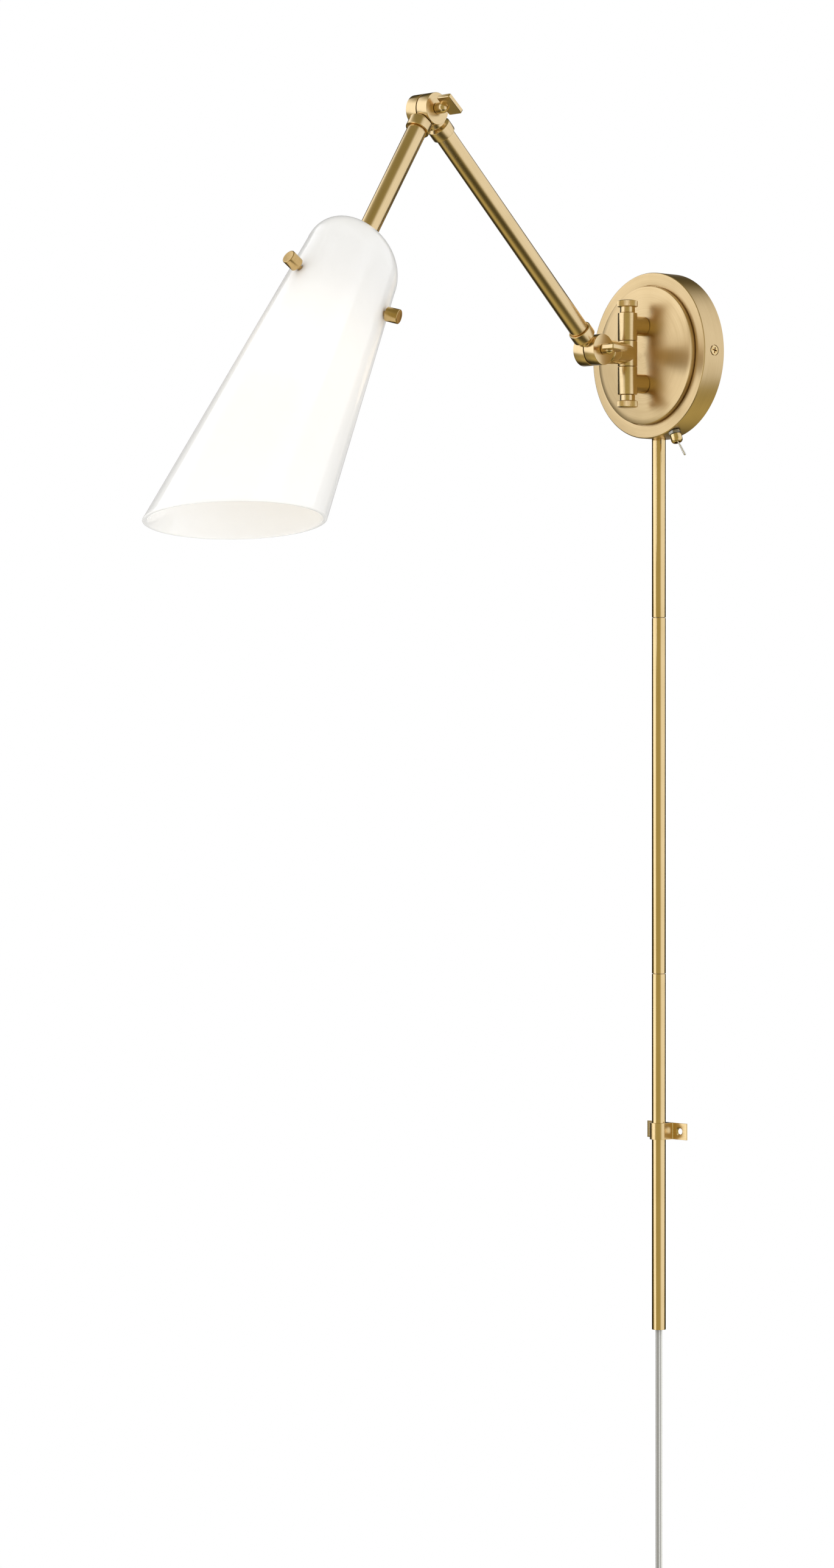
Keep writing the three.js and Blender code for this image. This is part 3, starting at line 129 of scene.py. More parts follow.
def corners(node):
    """All corners of a CAD node in millimetres, as rows."""
    mesh = frame["nodes"][node].data
    flat = np.empty(3 * len(mesh.vertices))
    mesh.vertices.foreach_get("co", flat)
    return flat.reshape(-1, 3) / MM


def extent(node):
    """The lowest corner, the highest corner and the middle of a CAD node's box."""
    low, high = corners(node).min(axis=0), corners(node).max(axis=0)
    return low, high, (low + high) / 2


def along(node, place):
    """Where a node starts and ends along a place's z, and its greatest distance from it."""
    origin, axes = place
    local = (corners(node) - origin) @ axes.T
    return local[:, 2].min(), local[:, 2].max(), np.hypot(local[:, 0], local[:, 1]).max()


# %% [markdown]
# Most parts start as an outline: a profile for the lathe or a section to stack. Blender's curves
# could draw them; points worked out from arcs and softened corners have exact sizes.

# %% Outlines
def chain(*parts):
    """One outline from its stretches, each a list or an array of points."""
    return np.concatenate(parts)


def arc(x, y, radius, start, end, steps):
    """Points (x + r cos t, y + r sin t) for angles t from start to end, in degrees."""
    t = np.radians(np.linspace(start, end, steps + 1))
    return np.stack([x + radius * np.cos(t), y + radius * np.sin(t)], axis=1)


def soften(outline, radius, steps=4, closed=True):
    """Rounds the corners of an outline: each corner becomes a parabola from a point at the
    radius before it to a point at the radius after it, or half way where a side is short."""
    points = np.asarray(outline, float)
    before, after = np.roll(points, 1, axis=0), np.roll(points, -1, axis=0)
    to_before = np.linalg.norm(before - points, axis=1, keepdims=True)
    to_after = np.linalg.norm(after - points, axis=1, keepdims=True)
    start = points + (before - points) * np.minimum(radius / to_before, 0.45)
    end = points + (after - points) * np.minimum(radius / to_after, 0.45)
    t = np.linspace(0, 1, steps + 1)[None, :, None]
    curve = (1 - t) ** 2 * start[:, None] + 2 * t * (1 - t) * points[:, None] + t**2 * end[:, None]
    if not closed:
        curve[0] = points[0]
        curve[-1] = points[-1]
    return curve.reshape(-1, 2)


def rectangle(width, height, corner, steps=6):
    """A rectangle about 0 with round corners."""
    x, y = width / 2 - corner, height / 2 - corner
    quarters = [(x, y, 0), (-x, y, 90), (-x, -y, 180), (x, -y, 270)]
    return chain(*[arc(a, b, corner, t, t + 90, steps) for a, b, t in quarters])


def bar_profile(radius, low, high, edge=0.0):
    """Half the section of a round bar, from axis to axis. An edge rounds its two corners."""
    profile = [(0, low), (radius, low), (radius, high), (0, high)]
    return soften(profile, edge, 3, closed=False) if edge else profile


def pipe_profile(inner, outer, low, high, edge):
    """Half the section of a tube, with its four corners rounded."""
    return soften([(inner, low), (outer, low), (outer, high), (inner, high)], edge, 3)


# %% [markdown]
# A surface is a stack of rings, held as one numpy array of points. The Screw modifier and
# extrusion make such shapes too, but an array can be leaned, tapered or knurled before it
# becomes a mesh. Points that fall together, as at a pole, are welded here once for all parts.

# %% Surfaces
WELD = 1e-6


def ring_at(outline, z):
    """An outline of (x, y) as a ring of points at one height."""
    return np.column_stack([outline, np.full(len(outline), z)])


def grid_faces(rings, columns, closed, caps):
    """Quads between neighbours in a stack of rings, where point j of ring i has the number
    i * columns + j. A closed stack joins its last ring to its first; caps fill both of them."""
    i, j = np.meshgrid(np.arange(rings if closed else rings - 1), np.arange(columns), indexing="ij")
    down, right = (i + 1) % rings, (j + 1) % columns
    quads = [i * columns + j, down * columns + j, down * columns + right, i * columns + right]
    faces = np.stack(quads, axis=-1).reshape(-1, 4).tolist()
    if caps:
        faces.append(list(range(columns)))
        faces.append(list(range(rings * columns - 1, (rings - 1) * columns - 1, -1)))
    return faces


def shape(name, rings, place, closed=False, caps=False):
    """A mesh through a stack of rings, an array of (ring, point, xyz) in millimetres: welded,
    stood in its place, with its faces outwards (a mesh with them inwards has a negative volume)."""
    origin, axes = place
    world = (origin + rings.reshape(-1, 3) @ axes) * MM
    mesh = bpy.data.meshes.new(name)
    mesh.from_pydata(world.tolist(), [], grid_faces(*rings.shape[:2], closed, caps))
    work = bmesh.new()
    work.from_mesh(mesh)
    bmesh.ops.remove_doubles(work, verts=work.verts, dist=WELD)
    if work.calc_volume(signed=True) < 0:
        bmesh.ops.reverse_faces(work, faces=work.faces)
    work.to_mesh(mesh)
    work.free()
    made = bpy.data.objects.new(name, mesh)
    bpy.context.scene.collection.objects.link(made)
    return made


# %% [markdown]
# Turned parts are a profile carried round an axis, stamped and moulded parts one outline at
# several heights. Real edges are never sharp, so profiles have rounded corners and stacked
# outlines a small bevel, which catches a thin line of light.

# %% Turned and stacked shapes
def revolve(r, z, turns):
    """Rings about an axis: x = r cos t, y = r sin t. Each row of r and z is a ring."""
    t = np.linspace(0, 2 * np.pi, turns, endpoint=False)
    return np.stack([r * np.cos(t), r * np.sin(t), z + 0 * t], axis=-1)


def lathe(name, profile, place, turns=96):
    """Carries a profile of (r, z) round z. A profile that doesn't start and end on the axis
    closes on itself."""
    profile = np.asarray(profile, float)
    on_axis = profile[0, 0] == 0 and profile[-1, 0] == 0
    return shape(name, revolve(profile[:, :1], profile[:, 1:], turns), place, closed=not on_axis)


def rod(name, radius, low, high, place, turns=64):
    """A plain round bar, used for holes and for joining."""
    return lathe(name, bar_profile(radius, low, high), place, turns)


def prism(name, outline, low, high, place, bevel=0.0):
    """Stacks an outline from low to high. With a bevel the outline draws in at both ends: each
    point moves towards the middle by the bevel, measured square to the sides."""
    outline = np.asarray(outline, float)
    ahead, back = np.roll(outline, -1, axis=0), np.roll(outline, 1, axis=0)
    run = ahead - back
    run /= np.linalg.norm(run, axis=1, keepdims=True)
    turn = np.sign(np.sum(outline[:, 0] * ahead[:, 1] - ahead[:, 0] * outline[:, 1]))
    inward = turn * np.stack([-run[:, 1], run[:, 0]], axis=1)
    steps = [(0, low), (0, high)]
    if bevel:
        steps = [(bevel, low), (0, low + bevel), (0, high - bevel), (bevel, high)]
    rings = np.stack([ring_at(outline + inward * drawn_in, z) for drawn_in, z in steps])
    return shape(name, rings, place, caps=True)


# %% [markdown]
# Holes are drilled and parts are brazed together with Boolean steps. Edge loops made by hand
# would do it as well, but this way a part and its hole stay two simple shapes. Two grids whose
# edges coincide make a Boolean fail, so some tools are turned or lengthened a little.

# %% Cutting and finishing
CARVED_WELD = 4e-6
THROUGH = 20.0


def carve(body, tools, operation="DIFFERENCE"):
    """Cuts the tools out of a body, or joins them to it, and keeps the result as its mesh."""
    for tool in tools:
        step = body.modifiers.new("carve", "BOOLEAN")
        step.operation = operation
        step.solver = "EXACT"
        step.material_mode = "TRANSFER"
        step.object = tool
    seen = body.evaluated_get(bpy.context.evaluated_depsgraph_get())
    result = bpy.data.meshes.new_from_object(seen)
    work = bmesh.new()
    work.from_mesh(result)
    bmesh.ops.remove_doubles(work, verts=work.verts, dist=CARVED_WELD)
    bmesh.ops.dissolve_degenerate(work, edges=work.edges, dist=WELD)
    work.to_mesh(result)
    work.free()
    body.modifiers.clear()
    body.data = result
    for tool in tools:
        bpy.data.objects.remove(tool)
    return body


def paint(piece, material):
    """Gives a whole piece one material. What is joined to it later keeps its own."""
    piece.data.materials.clear()
    piece.data.materials.append(material)
    return piece


def dress(piece, node, *others, crease=32):
    """Shades a piece smooth up to a crease angle and ties it to the CAD node that it stands for."""
    print(f"{piece.name}: {len(piece.data.polygons)} faces, on {BODY[node]}")
    piece.data.shade_smooth()
    piece.data.set_sharp_from_angle(angle=np.radians(crease))
    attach(piece, BODY[node])
    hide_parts(node, *others)
    return piece


# %% [markdown]
# ## The places on the lamp
# The joints say where the parts turn, so the arms' directions follow from them: the lower arm
# runs from the lower pivot to the elbow, the upper arm from the elbow through its own tube.
# Typed angles would do too, but measured ones keep tubes, collars and discs in line.

# %% Places of the parts
WALL = stand((0, 0, 0), -Y, X)
hinge_point, _ = pivot("arm_swing")
lower_point, across = pivot("lower_pivot")
elbow_point, _ = pivot("elbow_pivot")
stub_line = unit(lower_point - hinge_point)
lower_line = unit(elbow_point - lower_point)
upper_line = unit(corners("upper_arm_tube").mean(axis=0) - elbow_point)
HINGE = stand(hinge_point, Z, X)
STUB = stand(hinge_point, stub_line, across)
LOWER_ARM = stand(lower_point, lower_line, across)
UPPER_ARM = stand(elbow_point, upper_line, across)
conduit_offset = -corners("conduit_middle")[:, 1].mean()
CONDUIT = stand((0, -conduit_offset, 0), Z, X)
print("lower arm", round(float(np.linalg.norm(elbow_point - lower_point)), 1), "mm between pivots")

# %% [markdown]
# ## Material helpers
# Real surfaces are never even: colour, roughness and relief all drift a little. Painted images
# could show that, but noise worked out from the place on the lamp has no seams and needs no
# files. One function turns sRGB hex colours to linear light, one adds a shader node with its
# settings and links, and one gives a shader its colours, its roughness and its relief from two
# noises. Patterns read Object coordinates, which are metres on the lamp, so a grain of 0.5 mm
# is a scale of 2000.

# %% Material helpers
def linear(code):
    """An sRGB hex colour as linear red, green, blue and alpha."""
    value = np.array([int(code[i : i + 2], 16) for i in (1, 3, 5)]) / 255
    low = value / 12.92
    high = ((value + 0.055) / 1.055) ** 2.4
    return (*np.where(value <= 0.04045, low, high).tolist(), 1.0)


def add(tree, kind, inputs=None, out=0, **settings):
    """Adds a shader node and returns one of its outputs, if it has any. Its inputs are values, or
    outputs of other nodes to link from."""
    node = tree.nodes.new("ShaderNode" + kind)
    for name, value in settings.items():
        setattr(node, name, value)
    for name, value in (inputs or {}).items():
        if isinstance(value, bpy.types.NodeSocket):
            tree.links.new(value, node.inputs[name])
        else:
            node.inputs[name].default_value = value
    return node.outputs[out] if len(node.outputs) else None


def new_material(name):
    """An empty node material: its tree and a socket with the place on the lamp."""
    print("material", name)
    material = bpy.data.materials.new(name)
    material.use_nodes = True
    tree = material.node_tree
    tree.nodes.clear()
    return material, tree, add(tree, "TexCoord", out="Object")


def finish(tree, grain, tone, colours, roughness, relief, **sockets):
    """The shader and its output. The tone picks a colour between two, the grain a roughness
    between two. A noise mostly lies from 0.3 to 0.7, so that stretch runs from the first to the
    second. The grain is also a relief, given as its strength and its height in millimetres."""
    stretch = {"From Min": 0.3, "From Max": 0.7}
    share = add(tree, "MapRange", {"Value": tone, **stretch})
    ends = {0: share, 6: linear(colours[0]), 7: linear(colours[1])}
    rough = {"Value": grain, **stretch, "To Min": roughness[0], "To Max": roughness[1]}
    bump = {"Height": grain, "Strength": relief[0], "Distance": relief[1] * MM}
    inputs = {
        "Base Color": add(tree, "Mix", ends, out=2, data_type="RGBA"),
        "Roughness": add(tree, "MapRange", rough),
        "Normal": add(tree, "Bump", bump),
        **{name.replace("_", " "): value for name, value in sockets.items()},
    }
    add(tree, "OutputMaterial", {"Surface": add(tree, "BsdfPrincipled", inputs)})


# %% [markdown]
# ## Satin brass
# Lacquered brass, polished and then brushed with a fine abrasive belt along the part. The
# brushing leaves hair lines that blur reflections, so cylinders show soft lengthwise bands and
# not sharp mirror images. The grain is drawn 0.5 mm wide and 60 mm long, coarser than the real
# hair lines, which are too fine to show. A slow cloud of 20 mm tints the lacquer. Anisotropy
# alone would stretch the highlights, but only a grain also breaks them up into fine lines.

# %% Brushed brass
GRAIN_WIDTH = 0.5 * MM
GRAIN_LENGTH = 60 * MM
CLOUD = 20 * MM
SATIN = ("#E3CA9B", "#EED5A8")
PALE_SATIN = ("#E8CD98", "#F2D8A6")
# A darker copy of the satin brass for the thumb screws: painted shade.
SHADED_SATIN = ("#C9A970", "#D8BB84")
SPUN_SATIN = ("#DAC092", "#E6CDA0")


def grained_metal(tree, where, lines, detail, cloud_share, colours, roughness, relief, **sockets):
    """A metal whose grain is a noise sampled at the lines' coordinates. Its tone mixes the grain
    with the cloud."""
    hair = add(tree, "TexNoise", {"Vector": lines, "Scale": 1.0, "Detail": detail})
    cloud = add(tree, "TexNoise", {"Vector": where, "Scale": 1 / CLOUD, "Detail": 2.0})
    tone = add(tree, "Mix", {0: cloud_share, 2: hair, 3: cloud})
    finish(tree, hair, tone, colours, roughness, relief, Metallic=1.0, **sockets)


def brushed_brass(name, place, colours=SATIN, roughness=(0.26, 0.23), relief=(0.15, 0.004)):
    """Brass brushed along the z of a place. Noise is sampled at (x / w, y / w, z / l) in that
    place, w and l being the grain's width and length."""
    material, tree, where = new_material(name)
    turn = Matrix(place[1].tolist()).to_euler()
    local = add(tree, "Mapping", {"Vector": where, "Rotation": turn})
    scale = (1 / GRAIN_WIDTH, 1 / GRAIN_WIDTH, 1 / GRAIN_LENGTH)
    lines = add(tree, "Mapping", {"Vector": local, "Scale": scale})
    grained_metal(tree, where, lines, 1.0, 0.5, colours, roughness, relief)
    return material


brass_stub = brushed_brass("brushed_satin_brass_stub", STUB)
brass_post = brushed_brass("brushed_satin_brass_posts", WALL)
brass_key = brushed_brass("brushed_satin_brass_keys", stand((0, 0, 0), across, Z))
brass_lower = brushed_brass("brushed_satin_brass_lower_arm", LOWER_ARM)
brass_upper = brushed_brass("brushed_satin_brass_upper_arm", UPPER_ARM)
brass_conduit = brushed_brass(
    "brushed_satin_brass_conduit", CONDUIT, PALE_SATIN, roughness=(0.17, 0.14), relief=(0.06, 0.002)
)
brass_clip = brushed_brass("brushed_satin_brass_clip", stand((0, 0, 0), X, Z), PALE_SATIN)

# %% [markdown]
# Sleeves, caps, knuckles, keys and thumb screws are turned on a lathe and keep fine tool rings
# about their own axis. The rings are drawn 0.4 mm apart, because the real ones are too fine to
# show. A wave texture has rings too, but they are all alike. Noise on the distance from the
# axis and the height along it, which a few nodes work out, gives rings of uneven strength.

# %% Turned brass
TOOL_RING = 0.4 * MM


def about_axis(tree, a, b, height, ring):
    """Coordinates about an axis: the distance hypot(a, b) and the height, both counted in rings,
    and the angle atan2(b, a)."""
    flat = add(tree, "CombineXYZ", {"X": a, "Y": b})
    reach = add(tree, "VectorMath", {0: flat}, out="Value", operation="LENGTH")
    rings, level = (add(tree, "Math", {0: m, 1: 1 / ring}, operation="MULTIPLY") for m in (reach, height))
    return rings, level, add(tree, "Math", {0: b, 1: a}, operation="ARCTAN2")


def turned_brass(name, place, colours=SATIN):
    """Brass with tool rings: noise is sampled at (distance / ring, height / ring, angle)."""
    material, tree, where = new_material(name)
    origin, axes = place
    from_axis = add(tree, "VectorMath", {0: where, 1: (origin * MM).tolist()}, operation="SUBTRACT")
    local = add(tree, "Mapping", {"Vector": from_axis, "Rotation": Matrix(axes.tolist()).to_euler()})
    x, y, z = add(tree, "SeparateXYZ", {"Vector": local}).node.outputs
    rings, level, angle = about_axis(tree, x, y, z, TOOL_RING)
    lines = add(tree, "CombineXYZ", {"X": rings, "Y": level, "Z": angle})
    grained_metal(tree, where, lines, 1.0, 0.6, colours, (0.25, 0.22), (0.15, 0.003))
    return material


brass_hinge = turned_brass("turned_satin_brass_hinge", HINGE)
brass_lower_knuckle = turned_brass("turned_satin_brass_lower_knuckle", stand(lower_point, across, Z))
brass_elbow = turned_brass("turned_satin_brass_elbow_knuckle", stand(elbow_point, across, Z))

# %% [markdown]
# The canopy is spun from sheet on a lathe and brushed while it turns, so its hair lines are
# rings too, drawn 0.5 mm apart for the same reason. Rings scatter light across themselves, out
# along the radius, which draws the soft fans that a turned disc shows. Relief this fine could
# not do that in a render, so it is anisotropy, with its tangent round the canopy's axis.

# %% Spun brass
SPUN_RING = 0.5 * MM


def spun_brass(name):
    """Brass with rings about y: noise is sampled at (distance / ring, angle, depth / ring)."""
    material, tree, where = new_material(name)
    x, y, z = add(tree, "SeparateXYZ", {"Vector": where}).node.outputs
    rings, level, angle = about_axis(tree, x, z, y, SPUN_RING)
    lines = add(tree, "CombineXYZ", {"X": rings, "Y": angle, "Z": level})
    around = add(tree, "Tangent", direction_type="RADIAL", axis="Y")
    fans = {"Anisotropic": 0.55, "Anisotropic_Rotation": 0.25, "Tangent": around}
    grained_metal(tree, where, lines, 2.0, 0.5, SPUN_SATIN, (0.37, 0.3), (0.2, 0.006), **fans)
    return material


brass_spun = spun_brass("spun_satin_brass")

# %% [markdown]
# ## The other finishes
# These surfaces have no direction, so one cloud is enough: it drifts their colour, roughness
# and relief, a few millimetres at a time. Opal glass is milk glass with a fire-polished skin:
# white all through, with a clear gloss; light goes into it, spreads a few millimetres and comes
# out on the other side. A see-through shader would be right for clear glass, but milk glass
# hides what is behind it, so this is subsurface scattering under a gloss. The frosted bulb
# glows a little, warm white, which lights the inside of the shade and gives the glass round it
# a soft warm middle.

# %% Other finishes
METAL = {"Metallic": 1.0}
GLASSY = {"IOR": 1.5}
PLASTIC = {"IOR": 1.53}
SPREAD = {"Subsurface_Weight": 0.8, "Subsurface_Radius": (1.0, 1.0, 1.0), "Subsurface_Scale": 6 * MM}
LIT = {"Emission_Color": linear("#FFF0D8"), "Emission_Strength": 0.75}


def plain(name, light, dark, roughness, patch, depth, **sockets):
    """A finish whose colour and roughness drift with a cloud of one size, and whose relief has a
    depth; both are in millimetres."""
    material, tree, where = new_material(name)
    cloud = add(tree, "TexNoise", {"Vector": where, "Scale": 1 / (patch * MM), "Detail": 3.0})
    finish(tree, cloud, cloud, (light, dark), roughness, (0.2, depth), **sockets)
    return material


# Turned, lacquered and handled: a clear warm gleam with soft spots.
bright_brass = plain("turned_bright_brass", "#F1DBAA", "#E3C489", (0.14, 0.22), 3, 0.01, **METAL)
# Barrel plated: a dull grey sheen with a cloudy bloom.
zinc_steel = plain("zinc_plated_steel", "#B9B6AF", "#9C9A93", (0.3, 0.42), 3, 0.01, **METAL)
# Polished before it was plated: nearly a mirror, cool beside the brass.
chrome = plain("chrome_plate", "#F0F0F1", "#E6E6E8", (0.05, 0.09), 3, 0.01, **METAL)
# Thin sheet with its thread rolled in: pale and softly shiny.
rolled_aluminium = plain("rolled_aluminium", "#D9D9D8", "#C6C6C4", (0.28, 0.36), 3, 0.01, **METAL)
# Blown and fire-polished: white depth under a clear gloss.
opal_glass = plain("opal_glass", "#FEFDFB", "#FCFBF8", (0.1, 0.14), 30, 0.05, **GLASSY, **SPREAD)
# Etched inside: a matt warm white that glows.
frosted_bulb = plain("frosted_bulb_glass", "#FFF6E4", "#FBEFD8", (0.35, 0.45), 2, 0.02, **GLASSY, **LIT)
# Compression moulded: a hard off-white with a slight gloss.
white_thermoset = plain("white_thermoset", "#EFEDE6", "#E6E3DA", (0.25, 0.35), 2, 0.02, **GLASSY)
# Pressed paper fibre: dark brown, dry and matt.
vulcan_fibre = plain("vulcan_fibre", "#3A2F26", "#2A221C", (0.7, 0.85), 0.6, 0.02, **GLASSY)
# Moulded: black with a satin skin.
black_nylon = plain("black_nylon", "#1C1C1D", "#131314", (0.42, 0.55), 0.8, 0.02, **PLASTIC)
# Moulded over wire and blades, which show through it as a pale grey: soft and glossy.
clear_vinyl = plain("clear_vinyl_moulding", "#E4E4DF", "#D3D3CE", (0.16, 0.26), 2, 0.02, **PLASTIC)

# %% [markdown]
# ## Cord
# Below the conduit the cord hangs straight. The rest is wound into a coil of two columns of
# four layers, as a lamp comes out of its box, and ends in the plug. A physics step could drop
# it, but a coil that is tied with a band keeps its shape, so its route is worked out: a circle
# whose radius steps by one layer in each turn.

# %% Cord route
CORD_WIDTH = 5.6
CORD_THICKNESS = 2.8
LAYER = 3.0
COLUMN = 5.9
COIL_CENTRE = -939.0
COIL_OUTSIDE = 35.5
COIL_NEAR_WALL = 8.95
ENTRY_ANGLE = 113.8
LEAVE_ANGLE = 180.0
STEP_SHARE = 0.17
LAYER_STEPS = np.array([-1, -1, -1, 0, 1, 1, 1])
COLUMN_STEP = 3
POINT_GAP = 4.0
TAIL_START = 5
TAIL_GAP = 0.3
PLUG_TOP = along("plug_body", CONDUIT)[1]

# x and z of the stretch that hangs, and of its bend into the coil.
HANGING = [
    (0, -704.4), (0, -720), (0, -735), (0, -752), (0, -770), (0, -787), (0, -805), (0, -822),
    (0, -840), (0, -852), (0, -865), (0, -875), (0, -884.6), (-0.4, -888.8), (-1.4, -892.8),
    (-3.2, -896.6), (-6.1, -900.6), (-9.9, -904.1),
]


def smooth_step(t):
    """0 below 0, 1 above 1 and 3t^2 - 2t^3 between."""
    t = np.clip(t, 0, 1)
    return t * t * (3 - 2 * t)


def coil_path(steps=40):
    """Eight layers: the radius shrinks by a layer each turn to the fourth, the cord then
    crosses to the second column and the radius grows again. Each change is a smooth step over
    the last part of its turn."""
    changes = len(LAYER_STEPS)
    end = changes + (LEAVE_ANGLE - ENTRY_ANGLE) / 360
    turn = np.linspace(0, end, int(end * steps) + 1)
    change = smooth_step((turn[:, None] - np.arange(1, changes + 1) + STEP_SHARE) / STEP_SHARE)
    radius = COIL_OUTSIDE + LAYER * (change * LAYER_STEPS).sum(axis=1)
    depth = COIL_NEAR_WALL + COLUMN * change[:, COLUMN_STEP]
    angle = np.radians(ENTRY_ANGLE) + 2 * np.pi * turn
    return np.column_stack([radius * np.cos(angle), -depth, COIL_CENTRE + radius * np.sin(angle)])


def blend(a, b, at_a, at_b, t):
    """The straight blend that is a where t is at_a and b where t is at_b."""
    return ((at_b - t) * a + (t - at_a) * b) / (at_b - at_a)


def resample(points, gap):
    """The same route with points an even gap apart, on a centripetal Catmull-Rom curve: each
    span blends its two neighbours with weights from the square roots of the chord lengths."""
    points = np.asarray(points, float)
    p = chain([2 * points[0] - points[1]], points, [2 * points[-1] - points[-2]])
    knot = chain([0], np.cumsum(np.sqrt(np.linalg.norm(np.diff(p, axis=0), axis=1))))
    spans = []
    for i in range(1, len(p) - 2):
        count = max(int(np.linalg.norm(p[i + 1] - p[i]) / gap), 1)
        t = np.linspace(knot[i], knot[i + 1], count, endpoint=False)[:, None]
        before, span, after = (blend(p[k], p[k + 1], knot[k], knot[k + 1], t) for k in (i - 1, i, i + 1))
        start = blend(before, span, knot[i - 1], knot[i + 1], t)
        end = blend(span, after, knot[i], knot[i + 2], t)
        spans.append(blend(start, end, knot[i], knot[i + 1], t))
    return chain(*spans, points[-1:])


hanging = np.array([(x, -conduit_offset, z) for x, z in HANGING])
tail_y = -(COIL_NEAR_WALL + COLUMN)
tail_ends = COIL_CENTRE - TAIL_START, PLUG_TOP + TAIL_GAP
tail = [(-COIL_OUTSIDE, tail_y, z) for z in np.linspace(*tail_ends, 4)]
cord_line = chain(resample(hanging, POINT_GAP), coil_path(), tail)

# %% [markdown]
# Flat twin cord is two round strands side by side in clear vinyl, with a shallow groove between
# them. A curve with a bevel could carry the section, but it would twist in the coil. A sweep
# with its own rule for the width keeps the flat side against the next turn.

# %% Cord
LOBE = CORD_THICKNESS / 2
WAIST = 0.55


def twin_section(steps=10):
    """Two circles side by side as (thickness, width). Each stops where it has come back by the
    waist's share of its radius, so a shallow flat groove runs between them on both faces."""
    centre = CORD_WIDTH / 2 - LOBE
    dip = np.degrees(np.arcsin(WAIST))
    top = arc(0, centre, LOBE, -dip, 180 + dip, 2 * steps)
    bottom = arc(0, -centre, LOBE, 180 - dip, 360 + dip, 2 * steps)
    return chain(top, bottom)


def sweep(name, line, section):
    """Carries a section along a line. Its width stays as near as it can to the direction out of
    the wall: thin = tangent x out, wide = thin x tangent."""
    tangent = np.gradient(line, axis=0)
    tangent /= np.linalg.norm(tangent, axis=1, keepdims=True)
    thin = np.cross(tangent, -Y)
    thin /= np.linalg.norm(thin, axis=1, keepdims=True)
    wide = np.cross(thin, tangent)
    rings = line[:, None] + section[:, :1] * thin[:, None] + section[:, 1:] * wide[:, None]
    return shape(name, rings, LAMP, caps=True)


def lay_map(piece, line, section):
    """A UV map for a swept cord: u runs round the section and v is metres along the line."""
    run = chain([0], np.cumsum(np.linalg.norm(np.diff(line, axis=0), axis=1))) * MM
    mesh = piece.data
    columns = len(section)
    vertex = np.empty(len(mesh.loops), int)
    mesh.loops.foreach_get("vertex_index", vertex)
    place = section[vertex % columns]
    row = np.minimum(vertex // columns, len(run) - 1)
    uv = np.column_stack([place[:, 1] / CORD_WIDTH + 0.5, run[row]])
    layer = mesh.uv_layers.new(name="lay")
    layer.data.foreach_set("uv", uv.ravel())


twin = twin_section()
cord = sweep("flat_twin_cord", cord_line, twin)
lay_map(cord, cord_line, twin)

# %% [markdown]
# Through the clear vinyl each tinned copper strand shows as a silvery grey stripe with a fine
# twist, and the edges stay pale. Real strands inside a transparent cord would be far too fine
# for its few millimetres, so the stripes are colour across the cord's map, under a clear coat.
# The pale stripe beside each strand is painted highlight, a sheen drawn into the colour.

# %% Cord vinyl
STRAND_PITCH = 6 * MM
STRAND_SKEW = 40.0
STRAND_RELIEF = 0.02 * MM
# Across the cord's width: the vinyl's edge, then each strand as a grey stripe with a pale
# stripe of painted highlight beside it. The ramp's two own stops are the first and the last.
STRIPES_AND_SHEEN = [
    (0.0, "#A3A39E"), (0.07, "#B9B9B4"), (0.14, "#E0E0DA"), (0.3, "#D6D6CF"),
    (0.38, "#9A9994"), (0.47, "#7B7A74"), (0.52, "#E6E6E1"), (0.62, "#DADAD4"),
    (0.7, "#73726C"), (0.8, "#9B9A95"), (0.9, "#84837E"), (1.0, "#A9A8A5"),
]


def cord_vinyl(name):
    """Stripes across the width: strands of tinned copper under clear vinyl, each with a pale stripe of painted
    highlight beside it. The twist of the strands is a relief, the sine of the length along the cord plus a skew
    across it."""
    material, tree, _ = new_material(name)
    lay = add(tree, "UVMap", uv_map="lay")
    over, run, _ = add(tree, "SeparateXYZ", {"Vector": lay}).node.outputs
    stripes_and_sheen = add(tree, "ValToRGB", {"Fac": over})
    stops = stripes_and_sheen.node.color_ramp.elements
    stops[0].color, stops[1].color = linear(STRIPES_AND_SHEEN[0][1]), linear(STRIPES_AND_SHEEN[-1][1])
    for position, code in STRIPES_AND_SHEEN[1:-1]:
        stops.new(position).color = linear(code)
    wave = add(tree, "Math", {0: run, 1: 2 * np.pi / STRAND_PITCH}, operation="MULTIPLY")
    phase = add(tree, "Math", {0: over, 1: STRAND_SKEW, 2: wave}, operation="MULTIPLY_ADD")
    twist = add(tree, "Math", {0: phase}, operation="SINE")
    inputs = {
        "Base Color": stripes_and_sheen,
        "IOR": 1.53,
        "Roughness": 0.16,
        "Coat Weight": 0.6,
        "Coat Roughness": 0.08,
        "Normal": add(tree, "Bump", {"Height": twist, "Strength": 0.25, "Distance": STRAND_RELIEF}),
    }
    add(tree, "OutputMaterial", {"Surface": add(tree, "BsdfPrincipled", inputs)})
    return material


dress(paint(cord, cord_vinyl("clear_twin_cord")), "cord_drop", "cord_coil", crease=50)

# %% [markdown]
# ## Plug and tie
# The plug is moulded on the cord: a flat body that the fingers grip and a ribbed strain relief
# that lets the cord bend without a kink. A box with modifiers could be pinched into the grip;
# rings whose width and depth follow a formula give the same soft block with fewer steps.

# %% Plug
plug_low, plug_high, plug_middle = extent("plug_body")
plug_width, plug_depth, _ = plug_high - plug_low
PLUG = stand((plug_middle[0], plug_middle[1], 0), Z, X)
PLUG_CORNER = 5.0
GRIP_ROUND = 0.12
GRIP_WAIST = 0.1
WAIST_LEVEL = 0.42
WAIST_SPREAD = 0.16
RELIEF_LENGTH = 20.0
RELIEF_RADIUS = 5.6
RELIEF_TAPER = 1.9
RELIEF_INSIDE = 0.05
RIBS = 6
RIB_DEPTH = 0.45
plug_shoulder = PLUG_TOP - RELIEF_LENGTH


